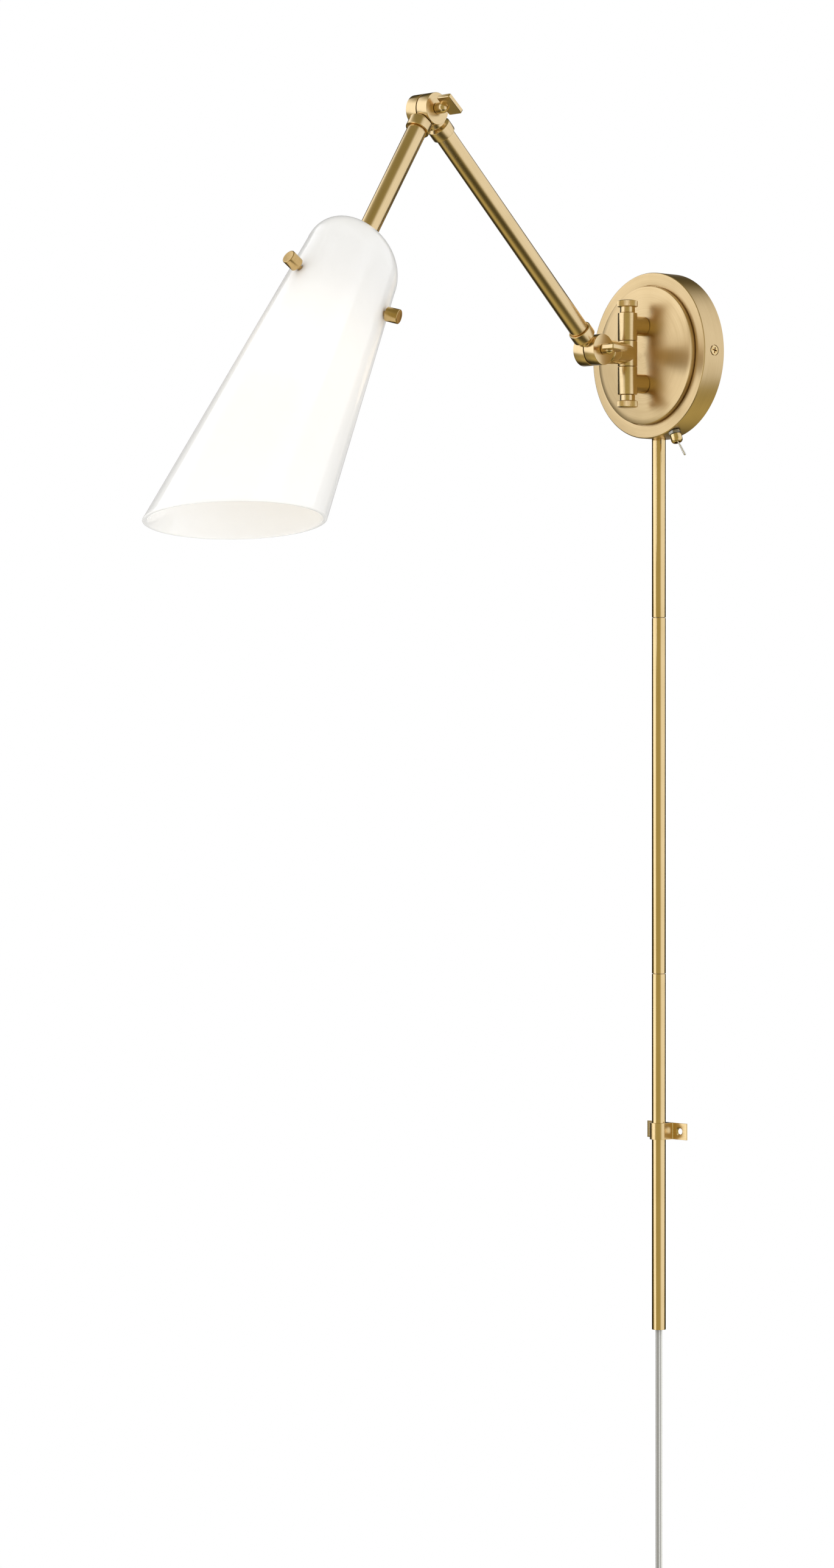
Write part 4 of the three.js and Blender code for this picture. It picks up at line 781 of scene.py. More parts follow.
def relief_profile():
    """A cone with rings: its radius dips by the ribs' depth between one rib and the next. It
    starts a little inside the grip."""
    s = np.linspace(0, 1, RIBS * 12 + 1)
    dip = RIB_DEPTH * (0.5 - 0.5 * np.cos(2 * np.pi * RIBS * s)) ** 2
    radius = RELIEF_RADIUS - RELIEF_TAPER * s - dip
    level = plug_shoulder + RELIEF_LENGTH * np.r_[-RELIEF_INSIDE, s, 1]
    return np.column_stack([np.r_[0, radius, 0], level])


def plug_grip():
    """Rounded rectangles that draw in at both ends, as a moulding does, with the eighth power of
    the distance from the middle. The depth also has a waist, a bell curve."""
    s = np.linspace(0, 1, 25)
    ease = np.sqrt(np.clip(1 - ((s - 0.5) / 0.5) ** 8, 0, 1)) * GRIP_ROUND + (1 - GRIP_ROUND)
    waist = 1 - GRIP_WAIST * np.exp(-(((s - WAIST_LEVEL) / WAIST_SPREAD) ** 2))
    levels = plug_low[2] + (plug_shoulder - plug_low[2]) * s
    rings = [
        ring_at(rectangle(plug_width * e, plug_depth * e * w, PLUG_CORNER * e), level)
        for level, e, w in zip(levels, ease, waist)
    ]
    return shape("plug_moulding", np.stack(rings), PLUG, caps=True)


plug = carve(plug_grip(), [lathe("relief", relief_profile(), PLUG, 48)], "UNION")
dress(paint(plug, clear_vinyl), "plug_body", crease=40)

# %% [markdown]
# Two flat brass blades with an eye near the tip. They are stamped from strip, so each one is a
# stacked outline with a small bevel and a drilled hole.

# %% Plug blades
BLADE_TIP = 1.5
BLADE_EDGE = 0.3
BLADE_BEVEL = 0.2
EYE_RADIUS = 1.6
EYE_TO_TIP = 4.0
for node in ("plug_blade_left", "plug_blade_right"):
    low, high, middle = extent(node)
    thickness, width, height = high - low
    outline = soften(rectangle(width, height, BLADE_TIP, 1), BLADE_EDGE, 2)
    blade = prism(node + "_brass", outline, -thickness / 2, thickness / 2, stand(middle, X, Y), BLADE_BEVEL)
    eye_place = stand((middle[0], middle[1], low[2] + EYE_TO_TIP), X, Y)
    eye = rod("eye", EYE_RADIUS, -thickness / 2 - 1, thickness / 2 + 1, eye_place, 32)
    dress(paint(carve(blade, [eye]), bright_brass), node)

# %% [markdown]
# A nylon band holds the coil where the turns lie side by side. It could be bent from a strip,
# but its ends don't show, so it is a block with softened corners and a hole of the same kind.

# %% Tie
TIE_WIDTH = 8.0
TIE_THICKNESS = 1.2
TIE_CORNER = 3.4
TIE_BEVEL = 0.3
tie_middle = extent("cord_tie")[2]
from_coil = unit(tie_middle - np.array([0, tie_middle[1], COIL_CENTRE]))
TIE = stand(tie_middle, np.cross(from_coil, -Y), from_coil)
half_radial, half_out = (
    np.abs((corners("cord_tie") - tie_middle) @ direction).max() for direction in (from_coil, Y)
)
tie_hole = rectangle(2 * (half_radial - TIE_THICKNESS), 2 * (half_out - TIE_THICKNESS), TIE_CORNER - 1)
tie_outline = rectangle(2 * half_radial, 2 * half_out, TIE_CORNER)
tie = prism("nylon_tie_band", tie_outline, -TIE_WIDTH / 2, TIE_WIDTH / 2, TIE, TIE_BEVEL)
dress(paint(carve(tie, [prism("inside", tie_hole, -TIE_WIDTH, TIE_WIDTH, TIE)]), black_nylon), "cord_tie")

# %% [markdown]
# ## Canopy
# One spun shell, open at the back: a straight rim with a crisp front edge, a flat ring, a fine
# groove and then a raised, slightly crowned disc. The crown matters, because a truly flat disc
# would mirror one flat patch of the room. The real one is spun over a form, so one profile on
# the lathe is its natural shape: outside and inside in one closed line give it a true wall.

# %% Canopy
_, canopy_front, CANOPY_RADIUS = along("canopy_cover", WALL)
CANOPY_WALL = 1.2
CANOPY_LIFT = 0.5
RIM_DEPTH = 19.5
RIM_EDGE = 0.9
RIM_CORNER = 0.6
BACK_EDGE = 0.3
DISC_RADIUS = 50.0
DISC_EDGE = 0.6
DISC_CROWN = 1.6
GROOVE_WIDTH = 0.75
GROOVE_DEPTH = 1.9
GROOVE_EDGE = 0.18
disc_edge_height = canopy_front - DISC_CROWN
crown_radius = (DISC_RADIUS**2 + DISC_CROWN**2) / (2 * DISC_CROWN)


def crown(r):
    """Height of the crowned disc: the top of a sphere of the crown's radius."""
    return canopy_front - crown_radius + np.sqrt(crown_radius**2 - np.asarray(r) ** 2)


def canopy_profile():
    """The outside from the middle to the back edge, then the inside back to the middle."""
    inner = CANOPY_RADIUS - CANOPY_WALL
    r = np.linspace(0, DISC_RADIUS - DISC_EDGE, 14)
    ring_start = DISC_RADIUS + GROOVE_WIDTH
    groove_floor = RIM_DEPTH - GROOVE_DEPTH
    ring_back = RIM_DEPTH - CANOPY_WALL
    # The groove starts on the disc's side and ends out on the flat ring.
    groove = [
        (DISC_RADIUS, RIM_DEPTH + 0.5), (DISC_RADIUS, groove_floor), (ring_start, groove_floor),
        (ring_start, RIM_DEPTH), (ring_start + 3, RIM_DEPTH),
    ]
    return chain(
        np.column_stack([r, crown(r)]),
        arc(DISC_RADIUS - DISC_EDGE, disc_edge_height - DISC_EDGE, DISC_EDGE, 80, 0, 6),
        soften(groove, GROOVE_EDGE, 3, closed=False),
        arc(CANOPY_RADIUS - RIM_EDGE, RIM_DEPTH - RIM_EDGE, RIM_EDGE, 90, 0, 12),
        [(CANOPY_RADIUS, CANOPY_LIFT + BACK_EDGE), (CANOPY_RADIUS - BACK_EDGE, CANOPY_LIFT)],
        [(inner + BACK_EDGE, CANOPY_LIFT), (inner, CANOPY_LIFT + BACK_EDGE)],
        [(inner, ring_back - RIM_CORNER), (inner - RIM_CORNER, ring_back)],
        [(ring_start + CANOPY_WALL, ring_back), (ring_start + CANOPY_WALL / 2, groove_floor - CANOPY_WALL)],
        [(DISC_RADIUS - CANOPY_WALL, groove_floor - CANOPY_WALL)],
        [(DISC_RADIUS - CANOPY_WALL, disc_edge_height - CANOPY_WALL)],
        np.column_stack([r[::-1], crown(r[::-1]) - CANOPY_WALL])[1:],
    )


# %% [markdown]
# The rim has four holes: two countersunk ones for the side screws, one below for the conduit
# and one beside it for the switch.

# %% Canopy holes
switch_point, _ = pivot("toggle_throw")
SWITCH = stand((0, switch_point[1], 0), unit(switch_point * (X + Z)), -Y)
SWITCH_BORE = 3.3
CONDUIT_CLEARANCE = 0.3
SIDE_SCREW_HOLE = 2.2
SINK_RADIUS = 4.0
SINK_INSIDE = 40
HOLE_INSIDE = 54
HOLE_OUTSIDE = 70
screw_height = -corners("side_screw_right")[:, 1].mean()
conduit_radius = along("conduit_upper", CONDUIT)[2]
holes = []
for side in (1, -1):
    # The grid is turned a little, so that none of its edges coincides with one of the rim's.
    place = stand((0, -screw_height, 0), side * X, Z + 0.03 * Y)
    sink = [
        (0, SINK_INSIDE), (SIDE_SCREW_HOLE, SINK_INSIDE), (SIDE_SCREW_HOLE, CANOPY_RADIUS - 1.3),
        (SINK_RADIUS, CANOPY_RADIUS - 1.1), (SINK_RADIUS, HOLE_OUTSIDE), (0, HOLE_OUTSIDE),
    ]
    holes.append(lathe("sink", sink, place, 48))
holes.append(rod("conduit_hole", conduit_radius + CONDUIT_CLEARANCE, -HOLE_OUTSIDE, -HOLE_INSIDE, CONDUIT))
holes.append(rod("switch_hole", SWITCH_BORE, HOLE_INSIDE, HOLE_OUTSIDE, SWITCH))
canopy = lathe("spun_canopy", canopy_profile(), WALL, 200)
dress(paint(carve(canopy, holes), brass_spun), "canopy_cover", crease=28)

# %% [markdown]
# ## Side screws
# Small countersunk screws with a cross recess hold the canopy to its bracket. They are only
# 6.6 mm across, but they catch a bright spot on the plain rim. The recess could be a bump in
# the material; cut with two crossed bars it has real walls that turn dark from the side.

# %% Side screws
SIDE_SCREW_SHANK = 1.7
RECESS_LENGTH = 4.4
RECESS_WIDTH = 0.95
RECESS_CORNER = 0.2
RECESS_DEPTH = 2.4
RECESS_TURN = 12
for node, side in (("side_screw_right", 1), ("side_screw_left", -1)):
    place = stand((0, -screw_height, 0), side * X, Z)
    start, end, head = along(node, place)
    screw_profile = [
        (0, start), (SIDE_SCREW_SHANK, start), (SIDE_SCREW_SHANK, CANOPY_RADIUS - 1.5),
        (head, CANOPY_RADIUS), (head, CANOPY_RADIUS + 0.1), (head * 0.7, end - 0.08), (0, end),
    ]
    screw = lathe(node + "_head", screw_profile, place, 48)
    head_middle = (side * (CANOPY_RADIUS + 0.2), -screw_height, 0)
    slot = rectangle(RECESS_LENGTH, RECESS_WIDTH, RECESS_CORNER, 2)
    slots = []
    for turn in np.radians([RECESS_TURN, RECESS_TURN + 90]):
        slot_place = stand(head_middle, side * X, np.cos(turn) * Z + np.sin(turn) * Y)
        slots.append(prism("slot", slot, -RECESS_DEPTH, 1, slot_place))
    dress(paint(carve(screw, slots), bright_brass), node, crease=40)

# %% [markdown]
# ## Hinge
# Two posts stand on the canopy, each with a sleeve for the hinge pin. Post and sleeve are two
# turned bars brazed together, and a Boolean union draws the saddle line where they meet.

# %% Hinge
EDGE = 0.4
PIN_BORE = 3.3
SLEEVE_START = 9.4
SLEEVE_END = 29.4
TEE_HALF = 9.1
POST_RADIUS = 7.0
POST_HEIGHT = 20.8
POST_GAP = 0.05
hinge_offset = -hinge_point[1]
sleeve_radius = float(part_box("upper_hinge_bracket")[1][0]) / MM

for node, side in (("upper_hinge_bracket", 1), ("lower_hinge_bracket", -1)):
    up = stand(hinge_point, side * Z, X)
    out = stand((0, 0, side * POST_HEIGHT), -Y, X)
    foot = crown(POST_HEIGHT - POST_RADIUS) + POST_GAP
    sleeve = lathe(node + "_brass", bar_profile(sleeve_radius, SLEEVE_START, SLEEVE_END, EDGE), up)
    post = rod("post", POST_RADIUS, foot, hinge_offset, out, 96)
    carve(paint(sleeve, brass_hinge), [paint(post, brass_post)], "UNION")
    dress(carve(sleeve, [rod("bore", PIN_BORE, 0, 2 * THROUGH, up)]), node)

# %% [markdown]
# A knurled cap closes each end of the pin. The knurl is straight and fine: sixty small teeth
# that catch the light as dense lines. Sixty cuts would be slow and a bump would leave the
# outline smooth, so the radius itself goes up and down round the head.

# %% Hinge caps
KNURLS = 60
KNURL_DEPTH = 0.3
CAP_NECK = 5.45
CAP_NECK_LENGTH = 4.0
CAP_BEVEL = 0.6


def knurled_cap(name, place, start, end, radius):
    """A neck and a knurled head. The radius of the head's rows is lowered between the teeth by
    the knurl's depth times a triangle wave of the angle; the bevel rows and the neck stay round."""
    shoulder = start + CAP_NECK_LENGTH
    root = radius - KNURL_DEPTH
    face = root - CAP_BEVEL
    rows = [
        (0, start, 0), (CAP_NECK - 0.2, start, 0), (CAP_NECK, start + 0.2, 0),
        (CAP_NECK, shoulder - 0.01, 0), (CAP_NECK + 0.1, shoulder, 0), (face, shoulder, 0),
        (root, shoulder + CAP_BEVEL * 0.7, 0), (radius, shoulder + CAP_BEVEL, 1),
        (radius, end - CAP_BEVEL, 1), (root, end - CAP_BEVEL * 0.7, 0),
        (face, end - 0.06, 0), (face - 0.3, end, 0), (0, end, 0),
    ]
    r, z, knurled = np.array(rows).T[:, :, None]
    turns = KNURLS * 6
    t = np.linspace(0, 2 * np.pi, turns, endpoint=False)
    wave = np.abs(2 * (t * KNURLS / (2 * np.pi) % 1) - 1)
    return shape(name, revolve(r - KNURL_DEPTH * knurled * wave, z, turns), place)


for node, side in (("upper_hinge_cap", 1), ("lower_hinge_cap", -1)):
    place = stand(hinge_point, side * Z, X)
    cap = knurled_cap(node + "_brass", place, *along(node, place))
    dress(paint(cap, brass_hinge), node, crease=24)

# %% [markdown]
# Between the sleeves turns a tee: a sleeve of the same width and a boss towards the first
# knuckle, whose front edge is well rounded. The boss ends in a spigot inside the collar.

# %% Tee
BOSS_RADIUS = 8.1
BOSS_LENGTH = 15.8
BOSS_ROUND = 2.6
SPIGOT_RADIUS = 5.4
SPIGOT_END = 21.5
boss_profile = chain(
    [(0, 0)],
    arc(BOSS_RADIUS - BOSS_ROUND, BOSS_ROUND, BOSS_ROUND, -90, 0, 8),
    [(BOSS_RADIUS, BOSS_LENGTH - EDGE), (BOSS_RADIUS - EDGE, BOSS_LENGTH), (SPIGOT_RADIUS, BOSS_LENGTH)],
    [(SPIGOT_RADIUS, SPIGOT_END), (0, SPIGOT_END)],
)
tee = lathe("swing_tee_brass", bar_profile(sleeve_radius, -TEE_HALF, TEE_HALF, EDGE), HINGE)
carve(paint(tee, brass_hinge), [paint(lathe("boss", boss_profile, STUB), brass_stub)], "UNION")
dress(carve(tee, [rod("bore", PIN_BORE, -THROUGH, THROUGH, HINGE)]), "swing_tee")

# %% [markdown]
# ## Knuckles
# Each joint is a pair of half discs on one pivot, pressed together by a thumb key with a fibre
# washer between them. Each half carries a collar that holds a tube. The thin dark line round
# the knuckle is the gap between the halves. One solid with a painted line would look the same
# at rest, but the halves turn against each other, so they stay separate pieces, and a collar
# has a room cut out of it for the disc that turns beside it.

# %% Knuckles
KNUCKLE_RADIUS = 11.08
KNUCKLE_FACE = 9.7
SEAM = 0.35
COLLAR_RADIUS = 8.5
COLLAR_NECK = 6.2
COLLAR_CHAMFER = 1.8
SOCKET = 6.0
MOUTH_STEP = 0.6
MOUTH_DEPTH = 0.7
DISC_ROOM = 0.5
TUBE_BORE = 7.0
SPIGOT_BORE = 5.5
WASHER_BORE = 7.8
WASHER_DEPTH = 0.9
PIVOT_BORE = 2.7
# Where each collar starts and ends along its arm, from the pivot.
STUB_COLLAR = (14.2, 21.5)
LOWER_COLLAR = (13.2, 20.4)
ELBOW_COLLAR = (15.2, 22.8)
UPPER_COLLAR = (10.4, 18.0)


def knuckle_half(node, point, side, line, collar, bore, finishes):
    """A disc about the pivot joined to a collar along the arm, with room for the other disc. The
    grids are turned a little, so that no two of their edges coincide in the Boolean steps."""
    face = stand(point, side * across, line + 0.021 * np.cross(across, line))
    arm = stand(point, line, across + 0.017 * np.cross(across, line))
    other = stand(point, -side * across, line)
    start, end = collar
    disc = lathe(node + "_brass", bar_profile(KNUCKLE_RADIUS, SEAM, KNUCKLE_FACE, EDGE), face, 120)
    neck_profile = [
        (0, 0), (COLLAR_NECK, 0), (COLLAR_NECK, start - COLLAR_CHAMFER), (COLLAR_RADIUS, start),
        (COLLAR_RADIUS, end), (0, end),
    ]
    neck = lathe("collar", soften(neck_profile, EDGE, 3, closed=False), arm, 96)
    carve(neck, [rod("room", KNUCKLE_RADIUS + DISC_ROOM, -SEAM - 0.1, THROUGH, other, 90)])
    carve(paint(disc, finishes[0]), [paint(neck, finishes[1])], "UNION")
    floor, step, mouth = end - SOCKET, end - MOUTH_DEPTH, bore + MOUTH_STEP
    socket = [(0, floor), (bore, floor), (bore, step), (mouth, step), (mouth, end + 2), (0, end + 2)]
    cuts = [
        lathe("socket", socket, arm, 80),
        rod("washer_room", WASHER_BORE, 0, WASHER_DEPTH, face, 52),
        rod("pivot_bore", PIVOT_BORE, -1, THROUGH, face, 34),
    ]
    return dress(carve(disc, cuts), node, crease=30)


on_stub, on_lower = (brass_lower_knuckle, brass_stub), (brass_lower_knuckle, brass_lower)
on_elbow, on_upper = (brass_elbow, brass_lower), (brass_elbow, brass_upper)
knuckle_half("lower_knuckle_inner", lower_point, -1, -stub_line, STUB_COLLAR, SPIGOT_BORE, on_stub)
knuckle_half("lower_knuckle_outer", lower_point, 1, lower_line, LOWER_COLLAR, TUBE_BORE, on_lower)
knuckle_half("elbow_knuckle_inner", elbow_point, 1, -lower_line, ELBOW_COLLAR, TUBE_BORE, on_elbow)
knuckle_half("elbow_knuckle_outer", elbow_point, -1, upper_line, UPPER_COLLAR, TUBE_BORE, on_upper)

# %% [markdown]
# ## Thumb keys
# A key is a ball-ended hub with a flat paddle, and its shank runs through both half discs. The
# paddle has crisp bevelled edges that show as pale lines round a darker face. Its flat faces
# need no lathe, so it is a stacked outline, joined to the turned hub.

# %% Thumb keys
HUB_RADIUS = 3.9
HUB_LENGTH = 4.8
HUB_EDGE = 0.2
HUB_GAP = 0.3
KEY_SHANK = 2.4
KEY_SHANK_GAP = 2
PADDLE_WIDTH, PADDLE_HEIGHT, PADDLE_THICKNESS = 11.4, 16.6, 3.2
PADDLE_START = 4.7
PADDLE_CORNER = 1.2
PADDLE_BEVEL = 0.35
# Turn of the paddle from the lower arm's line, in degrees, and its offset from the pivot.
LOWER_KEY = (37.6, 0.3)
ELBOW_KEY = (3.0, 2.4)


def thumb_key(node, point, line, turn, offset, hub_finish):
    """A hub along the pivot with a paddle beside it. The paddle's long side is the line turned
    about the pivot; offset moves it square to its face."""
    foot = KNUCKLE_FACE + HUB_GAP
    far_end = KEY_SHANK_GAP - KNUCKLE_FACE
    hub = chain(
        [(0, far_end), (KEY_SHANK, far_end), (KEY_SHANK, foot)],
        [(HUB_RADIUS - HUB_EDGE, foot), (HUB_RADIUS, foot + HUB_EDGE)],
        arc(0, foot + HUB_LENGTH, HUB_RADIUS, 0, 90, 12),
    )
    hub[-1, 0] = 0
    angle = np.radians(turn)
    normal = np.cos(angle) * np.cross(line, across) + np.sin(angle) * line
    middle = point + across * (KNUCKLE_FACE + PADDLE_START + PADDLE_WIDTH / 2) + normal * offset
    outline = rectangle(PADDLE_WIDTH, PADDLE_HEIGHT, PADDLE_CORNER, 4)
    half = PADDLE_THICKNESS / 2
    paddle = prism("paddle", outline, -half, half, stand(middle, normal, across), PADDLE_BEVEL)
    key = lathe(node + "_brass", hub, stand(point, across, line), 64)
    carve(paint(key, hub_finish), [paint(paddle, brass_key)], "UNION")
    return dress(key, node, crease=30)


thumb_key("lower_thumb_key", lower_point, lower_line, *LOWER_KEY, brass_lower_knuckle)
thumb_key("elbow_thumb_key", elbow_point, lower_line, *ELBOW_KEY, brass_elbow)

# %% [markdown]
# ## Tubes
# Drawn brass tube, 14 mm for the arms and 10 mm for the conduit. The conduit comes in three
# lengths with couplers inside. Each end has a small rounded edge, as a deburred tube has, so
# the butt joints show as fine dark lines; a painted line would lie flat on the surface.

# %% Tubes
TUBE_WALL = 1.0
CONDUIT_WALL = 0.8
TUBE_EDGE = 0.3
BUSH_GAP = 0.3
for node, place, wall, material in (
    ("lower_arm_tube", LOWER_ARM, TUBE_WALL, brass_lower),
    ("upper_arm_tube", UPPER_ARM, TUBE_WALL, brass_upper),
    ("conduit_upper", CONDUIT, CONDUIT_WALL, brass_conduit),
    ("conduit_middle", CONDUIT, CONDUIT_WALL, brass_conduit),
    ("conduit_lower", CONDUIT, CONDUIT_WALL, brass_conduit),
):
    low, high, radius = along(node, place)
    tube = lathe(node + "_brass", pipe_profile(radius - wall, radius, low, high, TUBE_EDGE), place)
    dress(paint(tube, material), node)

low, high, radius = along("conduit_end_bush", CONDUIT)
bush_profile = pipe_profile(CORD_WIDTH / 2 + BUSH_GAP, radius, low, high, EDGE)
dress(paint(lathe("conduit_bush_nylon", bush_profile, CONDUIT, 64), black_nylon), "conduit_end_bush")

# %% [markdown]
# ## Strap clip
# A strip of brass bent round the conduit and down to the wall on each side, with a countersunk
# hole in each foot. Seen along the conduit it is one thin outline, so it is that outline
# stacked to the strip's width. Bending a flat strip would need the same arcs worked out.

# %% Strap clip
CLIP_THICKNESS = 1.2
CLIP_BEND = 0.8
CLIP_EDGE = 0.3
CLIP_BEVEL = 0.12
CLIP_HOLE_OFFSET = 13.4
CLIP_HOLE = 2.2
CLIP_SINK = 3.4
clip_low, clip_high, clip_middle = extent("strap_clip")


def clip_outline():
    """The strip seen from above as x and distance from the wall: foot, bend, loop, bend, foot on
    the outside, then back along the loop's inside."""
    inner = conduit_radius + CONDUIT_CLEARANCE
    outer = inner + CLIP_THICKNESS
    half, t, b = clip_high[0], CLIP_THICKNESS, CLIP_BEND
    right = [(inner, 0), (half, 0), (half, t), (outer + b, t)]
    left = [(-outer - b, t), (-half, t), (-half, 0), (-inner, 0)]
    right_foot, left_foot = (soften(foot, CLIP_EDGE, 3, closed=False)[3:-3] for foot in (right, left))
    return chain(
        right_foot,
        arc(outer + b, t + b, b, 270, 180, 6),
        arc(0, conduit_offset, outer, 0, 180, 48),
        arc(-outer - b, t + b, b, 0, -90, 6),
        left_foot,
        [(-inner, 0)],
        arc(0, conduit_offset, inner, 180, 0, 40),
        [(inner, 0)],
    )


# In this place x is the lamp's x, y points out of the wall and z down.
CLIP = (np.array([0, 0, clip_middle[2]]), np.stack([X, -Y, -Z]))
clip_half = (clip_high[2] - clip_low[2]) / 2
clip = prism("strap_clip_brass", clip_outline(), -clip_half, clip_half, CLIP, CLIP_BEVEL)
sink = [(0, -1), (CLIP_HOLE, -1), (CLIP_HOLE, 0.2), (CLIP_SINK, CLIP_THICKNESS), (CLIP_SINK, 3), (0, 3)]
sinks = [
    lathe("sink", sink, stand((side * CLIP_HOLE_OFFSET, 0, clip_middle[2]), -Y, X), 64) for side in (1, -1)
]
dress(paint(carve(clip, sinks), brass_clip), "strap_clip", crease=30)

# %% [markdown]
# ## Opal glass shade
# Blown milk glass: a round dome, a long cone and a mouth that is cut on the slant. The slant
# leans all the levels of the glass between the dome and the mouth, so each level is a tilted
# ring. The glass is 2.8 mm thick with fire-polished edges. A straight cone cut by a slanted
# plane has the same outline, but its lip is sharp and its dome stands straight. Leaned rings
# keep an even wall and a round lip all the way.

# %% Shade
# Angles are in degrees. The taper is what the radius gains for each millimetre of height.
SHADE_PIVOT = 150.8
SHADE_SAG = 2.8
SHADE_TURN = 18.7
SHADE_RADIUS = 35.7
SHADE_TAPER = np.tan(np.radians(5.9))
SHADE_LENGTH = 191.0
SHADE_CUT = 26.6
SHADE_WALL = 2.8
DOME_HEIGHT = 39.5
DOME_SHOULDER = 26.0
DOME_BASE = 13.5
DOME_TILT = 11.0
LIP_HEIGHT = SHADE_WALL * 0.3

sag, turned = np.radians(SHADE_SAG), np.radians(SHADE_TURN)
arm_x, arm_y, arm_z = UPPER_ARM[1]
glass_axis = np.cos(sag) * arm_z - np.sin(sag) * arm_y
glass_y = np.cos(sag) * arm_y + np.sin(sag) * arm_z
glass_x = np.cos(turned) * arm_x + np.sin(turned) * glass_y
SHADE = stand(elbow_point + SHADE_PIVOT * arm_z, glass_axis, glass_x)


def shade_side(depth):
    """One skin of the glass as (r, z): the dome's flat top, its round shoulder, then the cone."""
    shoulder = DOME_SHOULDER - depth
    top = depth - DOME_HEIGHT
    centre = SHADE_RADIUS - SHADE_TAPER * DOME_BASE - depth - shoulder
    cone_z = np.linspace(-DOME_BASE, SHADE_LENGTH, 60)
    return chain(
        ring_at(np.linspace(0, centre, 6, endpoint=False), top),
        arc(centre, top + shoulder, shoulder, -90, 0, 24),
        np.column_stack([SHADE_RADIUS + SHADE_TAPER * cone_z - depth, cone_z])[1:],
    )


def shade_profile():
    """The outer skin, the lip as half an ellipse of the wall's width, then the inner skin back."""
    outer, inner = shade_side(0), shade_side(SHADE_WALL)
    lip_middle = (outer[-1] + inner[-1]) / 2
    bow = np.radians(np.linspace(15, 165, 9))[:, None]
    lip = lip_middle + np.cos(bow) * (outer[-1] - lip_middle) + np.sin(bow) * np.array([0, LIP_HEIGHT])
    lip[:, 1] -= LIP_HEIGHT
    outer[-1, 1] -= LIP_HEIGHT
    inner[-1, 1] -= LIP_HEIGHT
    return chain(outer, lip, inner[::-1])


def lean(rings):
    """Tilts each level: z grows by the level's slope times the distance across. The slope runs
    from minus the dome's tilt at its base to the mouth's cut at the end, and the radius is
    corrected so that the tilted ring stays on the cone."""
    at_dome, at_mouth = -np.tan(np.radians(DOME_TILT)), np.tan(np.radians(SHADE_CUT))
    x, y, z = np.moveaxis(rings, -1, 0)
    share = np.clip((z + DOME_BASE) / (SHADE_LENGTH + DOME_BASE), 0, 1)
    slope = at_dome + (at_mouth - at_dome) * share
    r = np.hypot(x, y)
    safe = np.where(r > 0, r, 1)
    across_share = np.where(r > 0, y / safe, 0)
    grown = r / (1 - SHADE_TAPER * slope * across_share)
    scale = np.where(r > 0, grown / safe, 1)
    return np.stack([x * scale, y * scale, z + slope * across_share * grown], axis=-1)


skins = shade_profile()
shade = shape("opal_glass_shade", lean(revolve(skins[:, :1], skins[:, 1:], 180)), SHADE)

# %% [markdown]
# The glass has a hole at its top for the arm and three round its shoulder for the screws. They
# are a little larger than the metal, and the gap shows as a dark ring.

# %% Shade holes
HOLE_GAP = 0.7
ARM_HOLE_START = 70
ARM_HOLE_END = 131
GLASS_SCREW_HOLE = 2.6
SCREW_CENTRE = 43.9
FITTER_RADIUS = 28.0
screw_start = FITTER_RADIUS - SCREW_CENTRE
screws = [stand(*pivot(f"shade_screw_{i}_turn")) for i in (1, 2, 3)]
tube_radius = along("upper_arm_tube", UPPER_ARM)[2]
shade_cuts = [rod("arm_hole", tube_radius + HOLE_GAP, ARM_HOLE_START, ARM_HOLE_END, UPPER_ARM)]
shade_cuts += [rod("screw_hole", GLASS_SCREW_HOLE, screw_start, 2, place, 32) for place in screws]
dress(paint(carve(shade, shade_cuts), opal_glass), "glass_shade", crease=40)

# %% [markdown]
# ## Thumb screws of the shade
# Three plain round thumb screws with bevelled faces. Their lathe-turned fronts are slightly
# dished, so each one shows a soft spot instead of a flat patch. They are small against the
# bright glass and read darker there, so their brass is painted darker: painted shade.

# %% Thumb screws
THUMB_SCREW_SHANK = 1.7
BACK_BEVEL = 0.5
FRONT_ROUND = 0.55
DISH = 0.15
for i, place in enumerate(screws, start=1):
    node = f"thumb_screw_{i}"
    start, end, head = along(node, place)
    thumb_screw_profile = chain(
        [(0, start), (THUMB_SCREW_SHANK, start), (THUMB_SCREW_SHANK, -end)],
        [(head - BACK_BEVEL, -end), (head, BACK_BEVEL - end), (head, end - FRONT_ROUND)],
        arc(head - FRONT_ROUND, end - FRONT_ROUND, FRONT_ROUND, 15, 90, 5),
        [(head - 2 * FRONT_ROUND, end - 0.02), (head * 0.5, end - 0.8 * DISH), (0, end - DISH)],
    )
    # The screws' brass is painted darker than the rest of the lamp: painted shade.
    screw_finish = turned_brass(f"turned_satin_brass_thumb_screw_{i}", place, SHADED_SATIN)
    dress(paint(lathe(node + "_brass", thumb_screw_profile, place, 72), screw_finish), node, crease=30)

# %% [markdown]
# ## Inside the shade
# Seen through the mouth: first the fitter cup that the three screws press against, spun from
# sheet with a threaded boss for each screw. It is a lathe profile with a true wall; the bosses
# are joined to it before their threads are bored.

# %% Fitter cup
FITTER_WALL = 1.5
FITTER_EDGE = 5.0
ROD_BORE = 5.1
SCREW_BOSS = 3.6
BOSS_INSIDE = 3.5
BOSS_OUTSIDE = 1.2
SCREW_THREAD = 2.0
THREAD_START = 20
fitter_start, fitter_end, _ = along("shade_fitter", UPPER_ARM)
bend_radius, bend_z = FITTER_RADIUS - FITTER_EDGE, fitter_start + FITTER_EDGE
fitter_profile = chain(
    [(ROD_BORE, fitter_start)],
    arc(bend_radius, bend_z, FITTER_EDGE, -90, 0, 10),
    [(FITTER_RADIUS, fitter_end), (FITTER_RADIUS - FITTER_WALL, fitter_end)],
    arc(bend_radius, bend_z, FITTER_EDGE - FITTER_WALL, 0, -90, 8),
    [(ROD_BORE, fitter_start + FITTER_WALL)],
)
fitter = lathe("fitter_cup_brass", fitter_profile, UPPER_ARM)
